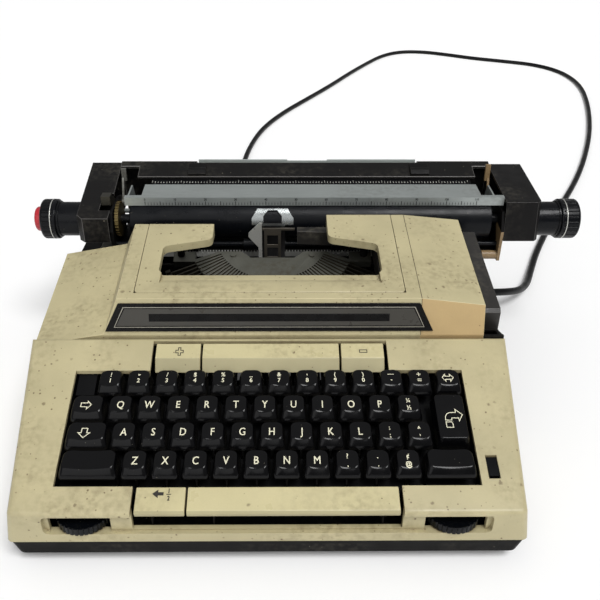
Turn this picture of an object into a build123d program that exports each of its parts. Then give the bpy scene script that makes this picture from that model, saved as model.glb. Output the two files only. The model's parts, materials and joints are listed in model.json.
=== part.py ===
from build123d import *

import os
from math import cos, hypot, radians, sin, tan

# A portable electric typewriter. X runs to the right, Y from the typist to the back, Z up.
# It is drawn with X = 0 on the middle of the body, Y = 0 on the front face and Z = 0 on the
# table, and each piece is moved by to_origin when it is written.

# Housing
deck_angle = 20.6
deck_front_height = 45.0
deck_behind_keys = 27.75
side_margin = 36.2
front_taper = 12.0
depth_behind_platen = 47.0
shell_wall = 2.6
front_wall = 6.0
seam = 0.4
foot_height = 6.0
foot_radius = 9.0
pan_height = 14.5
pan_wall = 2.5
pan_inset = 1.0

# Upper cover
cover_angle = 9.7
cover_front_height = 116.5
cover_lip_lean = 8.5
cover_half_width = 108.0
cover_right_margin = 15.4
cover_right_drop = 4.5
wing_step = 10.0
wing_step_drop = 23.0
wing_drop = 32.3

# Lid over the type basket
lid_left = -96.5
lid_right = 97.3
lid_setback = 6.7
lid_thickness = 3.0
lid_front_radius = 1.45
lid_corner = 3.0
lid_gap = 0.5
lid_rim_depth = 10.0
lid_rim = 2.2
lid_ledge = 4.0
opening_left = -82.0
opening_right = 83.3
opening_setback = 21.2
opening_depth = 32.5
arm_tip_rise = 9.0
left_arm_tip = -45.0
right_arm_tip = 45.5

# Key field
key_pitch = 19.05
row_rise = 6.73
bottom_row_y = 29.2
bottom_row_top = 61.6
key_field_shift = -2.625
cap_base = 17.2
cap_taper = 4.0
cap_height = 9.2
return_lean = 2.2
cap_corner = 2.4
cap_lean = 1.2
cap_tilt = 10.0
cap_dish = 1.1
blade_thickness = 1.2
blade_depth = 5.0
blade_low = 34.0
bar_blade_low = 29.0
stem_width = 6.0
lever_shaft_z = 37.5
lever_shaft_radius = 2.0
running_clearance = 0.05
well_side = 28.025
well_front = 16.4
well_back_gap = 0.25
well_depth = 12.6
well_shelf_left = -131.0
well_shelf_right = -118.5
well_shelf_drop = 3.5
well_shelf_gap = 0.6
well_plate = 1.5
well_wall = 1.6
slot_clearance = 0.7

# Bars in front of and behind the keys
bar_slot_left = -83.6
bar_slot_right = 83.0
bar_slot_sill = 32.5
bar_gap = 2.4
bar_split = -50.0
top_slot_left = -82.0
top_slot_right = 82.9
top_slot_margin = 4.3
top_split_left = -47.5
top_split_right = 49.7

# Thumbwheels and power switch
wheel_inset = 17.1
wheel_radius = 18.0
wheel_thickness = 5.5
wheel_low = 28.0
wheel_stand_out = 2.0
wheel_slack = 0.8
wheel_ribs = 36
recess_depth = 3.0
recess_margin = 19.0
recess_low = 27.5
recess_high = 41.5
switch_margin = 8.7
switch_y = 28.0
switch_width = 6.6
switch_length = 13.2
switch_pin_radius = 0.8
switch_pin_depth = 1.4

# Chassis
frame_inset = 23.0
frame_plate = 2.0
frame_top = 79.0
bridge_thickness = 2.5
bridge_top = 84.0
guide_rod_x = 75.5
guide_rod_radius = 3.0
roll_z = 30.0
roll_radius = 8.0
roll_shaft_radius = 3.0
guide_rod_top = 106.0
bridge_low = 40.0
rear_top = 84.0
lever_gate_top = 82.0
lever_gate_inset = 29.0
motor_z = 44.0
motor_radius = 22.0
rail_height = 8.0
beam_top = 91.5

# Type basket
print_x = 1.5
basket_angle = 20.0
basket_z = 102.05
guide_width = 14.2
holder_radius = 18.5
holder_end = radians(38)
segment_inner = 47.0
segment_outer = 70.0
segment_thickness = 7.0
segment_edge = -17.7
segment_notch = -24.6
slot_depth = 5.0
type_bar_count = 44
fan_half_angle = 64.0
type_bar_length = 46.0
type_bar_thickness = 1.0
type_bar_height = 4.0

# Ribbon cartridge
cartridge_left = 84.0
cartridge_thickness = 17.0
cartridge_gap = 0.6
cartridge_drop = 14.6
shelf_left = 100.0

# Platen and carriage
carriage_x = 32.5
platen_setback = 141.9
platen_z = 115.9
platen_radius = 16.5
platen_left = -151.5
platen_right = 154.5
shaft_radius = 4.0
plate_thickness = 2.5
plate_low = 84.6
neck_radius = 14.5
knob_radius = 17.0
knob_flutes = 24
knob_inner = 213.7
left_knob_outer = 227.5
right_knob_outer = 230.1
button_radius = 10.5
button_stand_out = 6.3
button_travel = 3.0
cover_out = 194.5
left_cover_in = -168.0
right_cover_in = 165.0
end_cover_wall = 2.4
end_cover_low = 104.0
sheet = 2.4
table_slope = 0.30
table_rise = 23.3
bail_pivot_z = 112.0
bail_sheet = 1.4
lever_hub_radius = 3.5
rack_pitch = 2.54
roller_radius = 5.0
roller_drop = 18.7
lever_notch_left = -151.0
lever_notch_right = 149.0
bail_arm_left = -153.6
bail_arm_right = 156.0

# Cord
cord_diameter = 7.0
relief_length = 20.0
cord_exit_z = 28.5

deck_tan = tan(radians(deck_angle))
cover_tan = tan(radians(cover_angle))
body_low = foot_height + pan_height
floor_top = foot_height + pan_wall
deck_cos = cos(radians(deck_angle))

# Across: the key field is eleven key pitches wide and the body stands round it
lane = key_pitch / 4
number_row_x = -22 * lane + key_field_shift
well_half_width = 22 * lane + well_side
body_half_width = well_half_width + side_margin
shell_front_half_width = body_half_width - front_taper
recess_half_width = shell_front_half_width - recess_margin
wheel_x = well_half_width - wheel_inset
switch_x = well_half_width + switch_margin
cover_right = body_half_width - cover_right_margin
cartridge_right = body_half_width - 1
frame_x = body_half_width - frame_inset
lever_gate_half = body_half_width - lever_gate_inset
wheel_y = wheel_radius - wheel_stand_out

# From the front back to the platen
number_row_back = bottom_row_y + 3 * key_pitch + cap_base / 2
well_back = number_row_back + well_back_gap
deck_depth = number_row_back + deck_behind_keys
top_slot_back = deck_depth - top_slot_margin
cover_front = deck_depth + seam
lip_y = cover_front + cover_lip_lean
lid_front = lip_y + lid_setback
opening_front = lid_front + opening_setback
arm_front = opening_front + opening_depth
cartridge_front = cover_front + 13.9
platen_y = cover_front + platen_setback

# Places that are set from the platen's axis
lever_shaft_y = platen_y - 87
roll_y = platen_y - 69
cover_back_left = platen_y - 44
cover_back_right = platen_y - 31.4
wing_back = platen_y - 36
rear_front = wing_back + seam
guide_rod_y = platen_y - 38.5
cartridge_back = platen_y - 33
bridge_front = platen_y - 24.35
basket_y = platen_y - 16.4
plate_front = platen_y - 19
beam_front = platen_y - 11
roller_y = platen_y - 10.8
bail_front = platen_y - 6.9
rail_front = platen_y + 1
motor_y = platen_y + 9
cord_exit_y = platen_y + 21
bail_pivot_y = platen_y + 25
rail_back = platen_y + 27
plate_back = platen_y + 34
table_front = platen_y + 35
beam_back = platen_y + 37
frame_back = platen_y + 40
rear_y = platen_y + 60
body_depth = platen_y + depth_behind_platen

deck_plane = Plane(
    origin=(0, 0, deck_front_height), x_dir=(1, 0, 0),
    z_dir=(0, -sin(radians(deck_angle)), deck_cos),
)

parts = {}


def deck_z(y):
    """Height of the keyboard deck's top face."""
    return deck_front_height + y * deck_tan


def cover_z(y):
    """Height of the upper cover's middle face."""
    return cover_front_height + (y - lip_y) * cover_tan


def row_y(row):
    """Middle of a key row, 0 for the row nearest the typist."""
    return bottom_row_y + row * key_pitch


def row_top(row):
    """Height of the key tops in a row."""
    return bottom_row_top + row * row_rise


def lane_x(number):
    """Side-to-side place of one key lever; whole numbers belong to the character keys."""
    return number_row_x + number * lane


def keep(name, shape):
    """Label a finished piece and list it to be written."""
    shape.label = name
    parts[name] = shape


def prism_x(outline, left, right):
    """A solid with a Y-Z outline, from x = left to x = right."""
    with BuildPart() as prism:
        with BuildSketch(Plane.YZ.offset(left)):
            with BuildLine():
                Polyline(*outline, close=True)
            make_face()
        extrude(amount=right - left)
    return prism.part


def bent_sheet(path, thickness, left, right):
    """A bent sheet whose middle follows a Y-Z path, from x = left to x = right."""
    with BuildPart() as sheet_metal:
        with BuildSketch(Plane.YZ.offset(left)):
            with BuildLine():
                Polyline(*path)
            trace(line_width=thickness)
        extrude(amount=right - left)
    return sheet_metal.part


def rod_x(y, z, radius, left, right):
    """A round rod along X."""
    with BuildPart() as rod:
        with BuildSketch(Plane.YZ.offset(left)):
            with Locations((y, z)):
                Circle(radius)
        extrude(amount=right - left)
    return rod.part


switch_pin = (
    switch_y + switch_pin_depth * sin(radians(deck_angle)),
    deck_z(switch_y) - switch_pin_depth * deck_cos,
)

# Base pan: a shallow tray with posts for the thumbwheels and vents in its floor
with BuildPart() as base_pan:
    front_half = shell_front_half_width - pan_inset
    rear_half = body_half_width - pan_inset
    with BuildSketch(Plane.XY.offset(foot_height)) as pan_plan:
        with BuildLine():
            Polyline(
                (-front_half, pan_inset), (front_half, pan_inset), (rear_half, deck_depth),
                (rear_half, body_depth - pan_inset), (-rear_half, body_depth - pan_inset),
                (-rear_half, deck_depth), close=True,
            )
        make_face()
        fillet(pan_plan.vertices().group_by(Axis.Y)[0], radius=6)
        fillet(pan_plan.vertices().group_by(Axis.Y)[-1], radius=10)
    extrude(amount=pan_height)
    chamfer(base_pan.faces().sort_by(Axis.Z)[0].edges(), length=3.5)
    with BuildSketch(Plane.XY.offset(floor_top)):
        add(pan_plan.sketch)
        offset(amount=-pan_wall)
    extrude(amount=pan_height, mode=Mode.SUBTRACT)
    with BuildSketch(Plane.XY.offset(foot_height)):
        with Locations((0, 200)):
            with GridLocations(14, 0, 9, 1):
                SlotOverall(46, 5, rotation=90)
    extrude(amount=pan_wall, mode=Mode.SUBTRACT)
    with BuildSketch(Plane.XY.offset(floor_top)):
        with Locations((-wheel_x, wheel_y), (wheel_x, wheel_y)):
            Circle(5)
    extrude(amount=wheel_low - 0.3 - floor_top)
    with BuildSketch(Plane.XY.offset(wheel_low - 0.3)):
        with Locations((-wheel_x, wheel_y), (wheel_x, wheel_y)):
            Circle(lever_shaft_radius)
    extrude(amount=wheel_thickness)
keep("base_pan", base_pan.part)

# Feet: four rubber buttons under the pan
with BuildPart() as feet:
    with BuildSketch():
        with Locations((0, body_depth / 2)):
            with GridLocations(2 * (shell_front_half_width - 30), body_depth - 60, 2, 2):
                Circle(foot_radius)
    extrude(amount=foot_height)
    chamfer(feet.faces().group_by(Axis.Z)[0].edges(), length=1.2)
keep("feet", feet.part)


def shell_wedge(inset_front, inset_side, lower, back):
    """The keyboard housing's wedge, drawn in from its outer faces."""
    with BuildPart() as wedge:
        with BuildSketch(Plane.YZ.offset(-body_half_width - 5)):
            with BuildLine():
                Polyline(
                    (inset_front, body_low), (inset_front, deck_z(inset_front) - lower),
                    (back, deck_z(back) - lower), (back, body_low), close=True,
                )
            make_face()
        extrude(amount=2 * body_half_width + 10)
        front_half = shell_front_half_width - inset_side
        rear_half = body_half_width - inset_side
        with BuildSketch():
            with BuildLine():
                Polyline(
                    (-front_half, 0), (front_half, 0), (rear_half, deck_depth),
                    (rear_half, deck_depth + 10), (-rear_half, deck_depth + 10),
                    (-rear_half, deck_depth), close=True,
                )
            make_face()
        extrude(amount=deck_z(deck_depth + 10), mode=Mode.INTERSECT)
    return wedge.part


# Keyboard shell: wedge-shaped moulding with the key well, bar slots, front recess and switch hole
shell_cavity = shell_wedge(front_wall, shell_wall, shell_wall / cos(radians(deck_angle)), deck_depth + 5)
with BuildPart() as keyboard_shell:
    add(shell_wedge(0, 0, 0, deck_depth))
    fillet(keyboard_shell.edges().filter_by(Axis.Z).group_by(Axis.Y)[0], radius=4.5)
    fillet(keyboard_shell.faces().sort_by(Axis.Z)[-1].edges(), radius=3.5)
    add(shell_cavity, mode=Mode.SUBTRACT)
    with BuildSketch(Plane.XY.offset(bar_slot_sill)):
        with Locations((0, (well_front + well_back) / 2)):
            Rectangle(2 * well_half_width, well_back - well_front)
        with Locations(((bar_slot_left + bar_slot_right) / 2, well_front / 2)):
            Rectangle(bar_slot_right - bar_slot_left, well_front + 4)
        with Locations(((top_slot_left + top_slot_right) / 2, (well_back + top_slot_back) / 2 - 1)):
            Rectangle(top_slot_right - top_slot_left, top_slot_back - well_back + 2)
        with Locations((switch_x, switch_y)):
            Rectangle(switch_width + 0.8, switch_length + 1.8)
    extrude(amount=80, mode=Mode.SUBTRACT)
    with BuildSketch(Plane.XZ.offset(-recess_depth)):
        with Locations((0, (recess_low + recess_high) / 2)):
            RectangleRounded(2 * recess_half_width, recess_high - recess_low, 3)
    extrude(amount=recess_depth + 2, mode=Mode.SUBTRACT)
    with BuildSketch(Plane.XZ.offset(-front_wall - 1)):
        with Locations((-wheel_x, recess_high), (wheel_x, recess_high)):
            Rectangle(2 * wheel_radius + 2, recess_high - wheel_low + wheel_slack,
                      align=(Align.CENTER, Align.MAX))
    extrude(amount=front_wall + 3, mode=Mode.SUBTRACT)
    with BuildSketch(Plane.YZ.offset(switch_x - switch_width)):
        with Locations(switch_pin):
            Circle(switch_pin_radius + running_clearance)
    extrude(amount=2 * switch_width, mode=Mode.SUBTRACT)
keep("keyboard_shell", keyboard_shell.part)


# Key caps and the steel levers that carry them
def keycap(x, y, top, width=cap_base, depth=cap_base):
    """A flared cap with a dished top that is tilted towards the typist."""
    top_width = width - cap_taper
    dish_radius = ((top_width / 2) ** 2 + cap_dish**2) / (2 * cap_dish)
    lean, rise = sin(radians(cap_tilt)), cos(radians(cap_tilt))
    top_middle = (x, y + cap_lean, top)
    with BuildPart() as cap:
        with BuildSketch(Plane.XY.offset(top - cap_height)):
            with Locations((x, y)):
                RectangleRounded(width, depth, cap_corner)
        with BuildSketch(Plane(origin=top_middle, x_dir=(1, 0, 0), z_dir=(0, -lean, rise))):
            RectangleRounded(top_width, depth - cap_taper, cap_corner)
        loft()
        with BuildSketch(Plane(origin=top_middle, x_dir=(1, 0, 0), z_dir=(0, -rise, -lean))):
            with Locations((0, dish_radius - cap_dish)):
                Circle(dish_radius)
        extrude(amount=depth, both=True, mode=Mode.SUBTRACT)
    return cap.part


def key_lever(x, stem_y, stem_top, low=blade_low):
    """A flat lever: an upright stem in front and an open fork on the shaft behind."""
    high = low + blade_depth
    back = lever_shaft_y + 5
    fork = lever_shaft_radius + running_clearance
    with BuildPart() as lever:
        with BuildSketch(Plane.YZ.offset(x - blade_thickness / 2)):
            with BuildLine():
                Polyline(
                    (stem_y - stem_width / 2, low), (stem_y - stem_width / 2, stem_top),
                    (stem_y + stem_width / 2, stem_top), (stem_y + stem_width / 2, high),
                    (lever_shaft_y - 8, lever_shaft_z + 3.8), (back, lever_shaft_z + 3.8),
                    (back, lever_shaft_z - 3.2), (lever_shaft_y - 8, lever_shaft_z - 3.2), close=True,
                )
            make_face()
            with Locations((lever_shaft_y, lever_shaft_z - 2)):
                Rectangle(2 * fork, 2 * fork + 4, mode=Mode.SUBTRACT)
        extrude(amount=blade_thickness)
    return lever.part


def key_group(pieces):
    """Separate solids that are kept as one node."""
    return Compound(children=pieces)


stem_holes = []

# Four rows of character keys, each cap on its own lever
row_names = ["bottom_row_keys", "home_row_keys", "upper_row_keys", "number_row_keys"]
row_lanes = [5, 3, 2, 0]
row_counts = [10, 11, 11, 12]
for row, (name, first, count) in enumerate(zip(row_names, row_lanes, row_counts)):
    pieces = []
    for number in range(count):
        x = lane_x(first + 4 * number)
        pieces.append(keycap(x, row_y(row), row_top(row)))
        pieces.append(key_lever(x, row_y(row), row_top(row) - cap_height))
        stem_holes.append((x, row_y(row)))
    keep(name, key_group(pieces))

# Wide keys: name, row, left edge, right edge, lever lane
key_edge = well_half_width - 2.2
wide_keys = [
    ("left_shift_key", 0, -key_edge, lane_x(3) - 1.2, 2.5),
    ("right_shift_key", 0, lane_x(43) + 1.2, key_edge, 43.5),
    ("shift_lock_key", 1, -key_edge, lane_x(1) - 0.6, -1.5),
    ("tab_key", 2, -key_edge, lane_x(0) - 0.9, -2.5),
    ("backspace_key", 3, lane_x(46) + 0.9, key_edge, 48.5),
]
for name, row, left, right, lever_lane in wide_keys:
    y = row_y(row)
    cap = keycap((left + right) / 2, y, row_top(row), width=right - left)
    lever = key_lever(lane_x(lever_lane), y, row_top(row) - cap_height)
    stem_holes.append((lane_x(lever_lane), y))
    keep(name, key_group([cap, lever]))


# Return key: one tall cap over two rows
def return_key():
    """The cap spans the home row and the row behind it, so its top is sloped like the deck."""
    left, right = lane_x(45) + 1.0, key_edge
    y = (row_y(1) + row_y(2)) / 2
    depth = key_pitch + cap_base
    plane = Plane(origin=((left + right) / 2, y, (row_top(1) + row_top(2)) / 2), x_dir=(1, 0, 0),
                  z_dir=(0, -row_rise, key_pitch))
    with BuildPart() as cap:
        with BuildSketch(plane.offset(-cap_height + 1)):
            with Locations((0, -return_lean)):
                RectangleRounded(right - left, depth, cap_corner)
        with BuildSketch(plane):
            RectangleRounded(right - left - cap_taper, depth - cap_taper, cap_corner)
        loft()
    lever = key_lever(lane_x(47.5), y, (row_top(1) + row_top(2)) / 2 - cap_height + 0.2)
    with BuildPart() as trimmed_lever:
        add(lever)
        add(cap.part, mode=Mode.SUBTRACT)
    stem_holes.append((lane_x(47.5), y))
    return key_group([cap.part, trimmed_lever.part])


keep("return_key", return_key())


def deck_bar(left, right, front, back, front_depth, back_depth, lean, rise=0.3):
    """A bar whose top follows the deck and whose front face leans."""
    outline = [
        (front + lean, deck_z(front) + rise - front_depth), (front, deck_z(front) + rise - 1.2),
        (front + 1.2, deck_z(front + 1.2) + rise), (back, deck_z(back) + rise),
        (back, deck_z(back) + rise - back_depth),
    ]
    return prism_x(outline, left, right)


def bar_key(name, left, right, front, back, lanes, front_depth, back_depth, low, lean=0.8):
    """A bar carried by one or two levers whose stems reach its underside."""
    bar = deck_bar(left, right, front, back, front_depth, back_depth, lean)
    stem_y = (front + back) / 2 + 1
    pieces = [bar]
    for number in lanes:
        with BuildPart() as stem:
            add(key_lever(lane_x(number), stem_y, deck_z(stem_y) - 1, low))
            add(bar, mode=Mode.SUBTRACT)
        pieces.append(stem.part.solids().sort_by(SortBy.VOLUME)[-1])
        stem_holes.append((lane_x(number), stem_y))
    keep(name, key_group(pieces))


bar_front = 0.2
bar_back = well_front - 0.6
bar_key("space_bar", bar_split + 0.6, bar_slot_right - bar_gap, bar_front, bar_back,
        (15.5, 37.5), 4.0, 7.0, bar_blade_low)
bar_key("half_space_key", bar_slot_left + bar_gap, bar_split - 0.6, bar_front, bar_back,
        (7.5,), 4.0, 7.0, bar_blade_low)
top_front = well_back + 8.0
top_back = top_slot_back - 2.4
bar_key("tab_set_key", top_slot_left + bar_gap, top_split_left - 0.7, top_front, top_back,
        (9.5,), 8.0, 8.0, blade_low, lean=-5.0)
bar_key("tab_bar", top_split_left + 0.7, top_split_right - 0.7, top_front, top_back,
        (14.5, 30.5), 8.0, 8.0, blade_low, lean=-5.0)
bar_key("tab_clear_key", top_split_right + 0.7, top_slot_right - bar_gap, top_front, top_back,
        (36.5,), 8.0, 8.0, blade_low, lean=-5.0)

# Key well: a black tray under the caps, slotted for every stem
with BuildPart() as key_well:
    well_middle = (well_front + well_back) / 2 / deck_cos
    well_length = (well_back - well_front) / deck_cos
    ceiling = -shell_wall
    with BuildSketch(deck_plane.offset(-well_depth - well_plate)):
        with Locations((0, well_middle)):
            Rectangle(2 * (well_half_width + well_wall), well_length + 2 * well_wall)
    extrude(amount=well_depth + well_plate + ceiling)
    with BuildSketch(deck_plane.offset(-well_depth)):
        with Locations((0, well_middle)):
            Rectangle(2 * well_half_width, well_length)
    extrude(amount=well_depth, mode=Mode.SUBTRACT)
    with BuildSketch(deck_plane.offset(-well_depth)):
        with Locations(((well_shelf_left + well_shelf_right) / 2, (row_y(3) + well_shelf_gap) / deck_cos)):
            Rectangle(well_shelf_right - well_shelf_left, cap_base)
    extrude(amount=well_depth - well_shelf_drop)
    with BuildSketch():
        for x, y in stem_holes:
            with Locations((x, y)):
                Rectangle(blade_thickness + 2 * slot_clearance, stem_width + 4)
        with Locations(((bar_slot_left + bar_slot_right) / 2, well_front)):
            Rectangle(bar_slot_right - bar_slot_left, 9)
        with Locations(((top_slot_left + top_slot_right) / 2, well_back + 4)):
            Rectangle(top_slot_right - top_slot_left, 8)
    extrude(amount=120, mode=Mode.SUBTRACT)
keep("key_well", key_well.part)

# Lever shaft: the rod that every key lever turns on
keep("key_lever_shaft", rod_x(lever_shaft_y, lever_shaft_z, lever_shaft_radius, -frame_x - 3, frame_x + 3))


def thumbwheel(x):
    """A ribbed wheel that turns on a post of the base pan and peeps out of the front recess."""
    with BuildPart() as wheel:
        with BuildSketch(Plane.XY.offset(wheel_low)):
            with Locations((x, wheel_y)):
                Circle(wheel_radius)
                Circle(lever_shaft_radius + running_clearance, mode=Mode.SUBTRACT)
                with PolarLocations(wheel_radius, wheel_ribs):
                    RegularPolygon(0.7, 4, mode=Mode.SUBTRACT)
        extrude(amount=wheel_thickness)
    return wheel.part


keep("left_thumbwheel", thumbwheel(-wheel_x))
keep("right_thumbwheel", thumbwheel(wheel_x))

# Power switch: a rocker on the right of the keys
with BuildPart() as power_switch:
    switch_plane = Plane(origin=(switch_x, switch_y, deck_z(switch_y)), x_dir=deck_plane.x_dir,
                         z_dir=deck_plane.z_dir)
    with BuildSketch(switch_plane.offset(-6)):
        Rectangle(switch_width, switch_length)
    extrude(amount=7)
    with BuildSketch(switch_plane.offset(1)):
        with Locations((0, switch_length * 0.35)):
            Rectangle(switch_width + 1, switch_length * 0.8)
    extrude(amount=-1.6, taper=20, mode=Mode.SUBTRACT)
    add(rod_x(*switch_pin, switch_pin_radius, switch_x - switch_width * 0.8, switch_x + switch_width * 0.8))
keep("power_switch", power_switch.part)


def cover_profile(inset):
    """Cross-section of the upper cover at its lip, drawn in by a wall."""
    with BuildSketch(Plane.XZ.offset(-lip_y)) as section:
        with BuildLine():
            Polyline(
                (-body_half_width, -60), (-body_half_width, cover_front_height - wing_drop),
                (-cover_half_width - wing_step, cover_front_height - wing_step_drop),
                (-cover_half_width, cover_front_height), (cover_half_width, cover_front_height),
                (cover_right, cover_front_height - cover_right_drop), (cover_right, -60), close=True,
            )
        make_face()
        if inset:
            offset(amount=-inset, kind=Kind.INTERSECTION)
    return section.sketch


cover_run = (0, cos(radians(cover_angle)), sin(radians(cover_angle)))


def cover_block(inset, front, lip):
    """The cover's profile carried along its slope and trimmed by the front face."""
    with BuildPart() as block:
        add(cover_profile(inset))
        extrude(amount=130, dir=cover_run, both=True)
        split(bisect_by=Plane(origin=(0, 0, body_low), z_dir=(0, 0, 1)), keep=Keep.TOP)
        split(bisect_by=Plane(origin=(0, front, 0), z_dir=(0, 1, 0)), keep=Keep.TOP)
        lip_normal = (0, cover_front_height - deck_z(deck_depth), -cover_lip_lean)
        split(bisect_by=Plane(origin=(0, lip, cover_front_height), z_dir=lip_normal), keep=Keep.TOP)
        with BuildSketch():
            with BuildLine():
                Polyline(
                    (-body_half_width - 1, 0), (cover_right + 1, 0),
                    (cover_right + 1, cover_back_right - inset),
                    (0, cover_back_right - inset), (0, cover_back_left - inset),
                    (-cover_half_width - 2, cover_back_left - inset),
                    (-cover_half_width - wing_step, wing_back - inset),
                    (-body_half_width - 1, wing_back - inset), close=True,
                )
            make_face()
        extrude(amount=200, mode=Mode.INTERSECT)
    return block.part


def slope_slab(left, right, lower, upper):
    """A slab parallel to the cover's middle face, between two depths below it."""
    with BuildPart() as slab:
        with BuildSketch(Plane.XZ.offset(-lip_y)):
            with Locations(((left + right) / 2, cover_front_height - (lower + upper) / 2)):
                Rectangle(right - left, lower - upper)
        extrude(amount=130, dir=cover_run, both=True)
    return slab.part


def plan_block(outline, corner=0, low=body_low - 1, height=180):
    """A tall block with a plan outline, its corners rounded."""
    with BuildPart() as block:
        with BuildSketch(Plane.XY.offset(low)) as plan:
            with BuildLine():
                Polyline(*outline, close=True)
            make_face()
            if corner:
                fillet(plan.vertices(), radius=corner)
        extrude(amount=height)
    return block.part


def cartridge_top(y):
    """Height of the ribbon cartridge's top face."""
    return cover_z(y) - cartridge_drop


# Upper cover: raised middle, lower left wing, ledge for the lid, right edge open for the cartridge
lid_seat = [
    (lid_left - lid_gap, lid_front - lid_gap), (lid_right + lid_gap, lid_front - lid_gap),
    (lid_right + lid_gap, rear_y), (lid_left - lid_gap, rear_y),
]
cover_hole = [
    (lid_left + lid_ledge, lid_front + lid_ledge), (lid_right - lid_ledge, lid_front + lid_ledge),
    (lid_right - lid_ledge, rear_y), (lid_left + lid_ledge, rear_y),
]
with BuildPart() as ledge:
    add(slope_slab(lid_left - lid_ledge, lid_right + lid_ledge, lid_thickness + 2.6, lid_thickness))
    add(cover_block(shell_wall - 0.2, cover_front + shell_wall, lip_y + shell_wall), mode=Mode.INTERSECT)
with BuildPart() as top_cover:
    add(cover_block(0, cover_front, lip_y))
    add(cover_block(shell_wall, cover_front + shell_wall, lip_y + shell_wall), mode=Mode.SUBTRACT)
    add(ledge.part)
    with BuildPart(mode=Mode.PRIVATE) as seat:
        add(slope_slab(lid_left - 9, lid_right + 9, lid_thickness, -6))
        add(plan_block(lid_seat, corner=lid_gap), mode=Mode.INTERSECT)
    add(seat.part, mode=Mode.SUBTRACT)
    add(plan_block(cover_hole, corner=3), mode=Mode.SUBTRACT)
    gate_front, gate_back = cartridge_front - 1, cartridge_back + 8
    add(prism_x(
        [(gate_front, body_low - 1), (gate_front, cartridge_top(gate_front) + cartridge_gap),
         (gate_back, cartridge_top(gate_back) + cartridge_gap), (gate_back, body_low - 1)],
        cover_hole[1][0], cover_right + 1,
    ), mode=Mode.SUBTRACT)
    add(prism_x(
        [(cover_front - 1, body_low - 1), (cover_front - 1, lever_gate_top),
         (cover_front + 9, lever_gate_top), (cover_front + 9, body_low - 1)],
        -lever_gate_half, lever_gate_half,
    ), mode=Mode.SUBTRACT)
    add(prism_x(
        [(cover_back_left - 6, body_low - 1), (cover_back_left - 6, lever_gate_top),
         (wing_back + 1, lever_gate_top), (wing_back + 1, body_low - 1)],
        -body_half_width + shell_wall, 0,
    ), mode=Mode.SUBTRACT)
keep("top_cover", top_cover.part)

# Lid: turns on its rounded front edge; a rim runs round the type opening
lid_corners = [(lid_left, lid_front), (lid_right, lid_front), (lid_right, rear_y), (lid_left, rear_y)]
lid_plan = [
    (lid_left, lid_front), (lid_right, lid_front), (lid_right, cover_back_right), (0, cover_back_right),
    (0, cover_back_left), (lid_left, cover_back_left),
]


def opening_block(grow):
    """The type opening between the lid's arms, grown by a rim."""
    outline = [
        (opening_left - grow, opening_front - grow), (opening_right + grow, opening_front - grow),
        (opening_right + grow, arm_front + 3 + grow),
        (right_arm_tip + grow, arm_front + 3 + arm_tip_rise + grow),
        (right_arm_tip + grow, platen_y + 15), (left_arm_tip - grow, platen_y + 15),
        (left_arm_tip - grow, arm_front + arm_tip_rise + grow), (opening_left - grow, arm_front + grow),
    ]
    return plan_block(outline, corner=max(5.5 - grow, 2.5))


bevel_drop = 5.0
bevel_start = opening_front - 10.9
bevel_outline = [
    (bevel_start - 1, cover_z(bevel_start - 1) - lid_thickness), (bevel_start, cover_z(bevel_start)),
    (opening_front, cover_z(opening_front) - bevel_drop),
    (opening_front, cover_z(opening_front) - lid_rim_depth),
    (opening_front - lid_rim, cover_z(opening_front) - lid_rim_depth),
    (opening_front - lid_rim, cover_z(opening_front) - bevel_drop - lid_thickness),
]
with BuildPart() as ribbon_lid:
    add(slope_slab(lid_left, lid_right, lid_thickness, 0))
    with BuildPart(mode=Mode.PRIVATE) as rim:
        add(slope_slab(lid_left + 8, lid_right - 8, lid_rim_depth, 0))
        add(opening_block(lid_rim), mode=Mode.INTERSECT)
    add(rim.part)
    add(plan_block(lid_plan), mode=Mode.INTERSECT)
    fillet(ribbon_lid.edges().filter_by(Axis.X).group_by(Axis.Y)[0], radius=lid_front_radius)
    add(plan_block(lid_corners, corner=lid_corner), mode=Mode.INTERSECT)
    add(opening_block(0), mode=Mode.SUBTRACT)
    add(prism_x(
        [(bevel_start, 150), (bevel_start, cover_z(bevel_start)),
         (opening_front + 1, cover_z(opening_front) - bevel_drop - 0.4), (opening_front + 1, 150)],
        opening_left + 2, opening_right - 2,
    ), mode=Mode.SUBTRACT)
    add(prism_x(bevel_outline, opening_left - 2, opening_right + 2))
keep("ribbon_lid", ribbon_lid.part)

# Nameplate: a bare plate on the cover's steep front
facet_rise = cover_front_height - deck_z(deck_depth)
facet_plane = Plane(origin=(0, cover_front, deck_z(deck_depth)), x_dir=(1, 0, 0),
                    z_dir=(0, -facet_rise, cover_lip_lean))
with BuildPart() as nameplate:
    with BuildSketch(facet_plane):
        with BuildLine():
            Polyline((-117, 3), (117, 3), (103, 23.5), (-103, 23.5), close=True)
        make_face()
    extrude(amount=1.0)
keep("nameplate", nameplate.part)

# Rear housing: open at the front and over the rail
with BuildPart() as rear_cover:
    rear_width = 2 * (body_half_width - pan_inset)
    with BuildSketch(Plane.XY.offset(body_low)):
        with Locations((0, (rear_front + body_depth - pan_inset) / 2)):
            Rectangle(rear_width, body_depth - pan_inset - rear_front)
    extrude(amount=rear_top - body_low)
    fillet(rear_cover.edges().filter_by(Axis.Z).group_by(Axis.Y)[-1], radius=10)
    with BuildSketch(Plane.XY.offset(body_low)):
        with Locations((0, (rear_front + body_depth - pan_inset) / 2 - pan_wall)):
            Rectangle(rear_width - 2 * pan_wall, body_depth - pan_inset - rear_front)
    extrude(amount=rear_top - body_low - pan_wall, mode=Mode.SUBTRACT)
    with BuildSketch(Plane.XY.offset(rear_top - pan_wall)):
        with Locations((0, (rear_front + rail_back + 8) / 2)):
            Rectangle(2 * (frame_x + 7), rail_back + 8 - rear_front)
    extrude(amount=pan_wall, mode=Mode.SUBTRACT)
keep("rear_cover", rear_cover.part)

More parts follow.
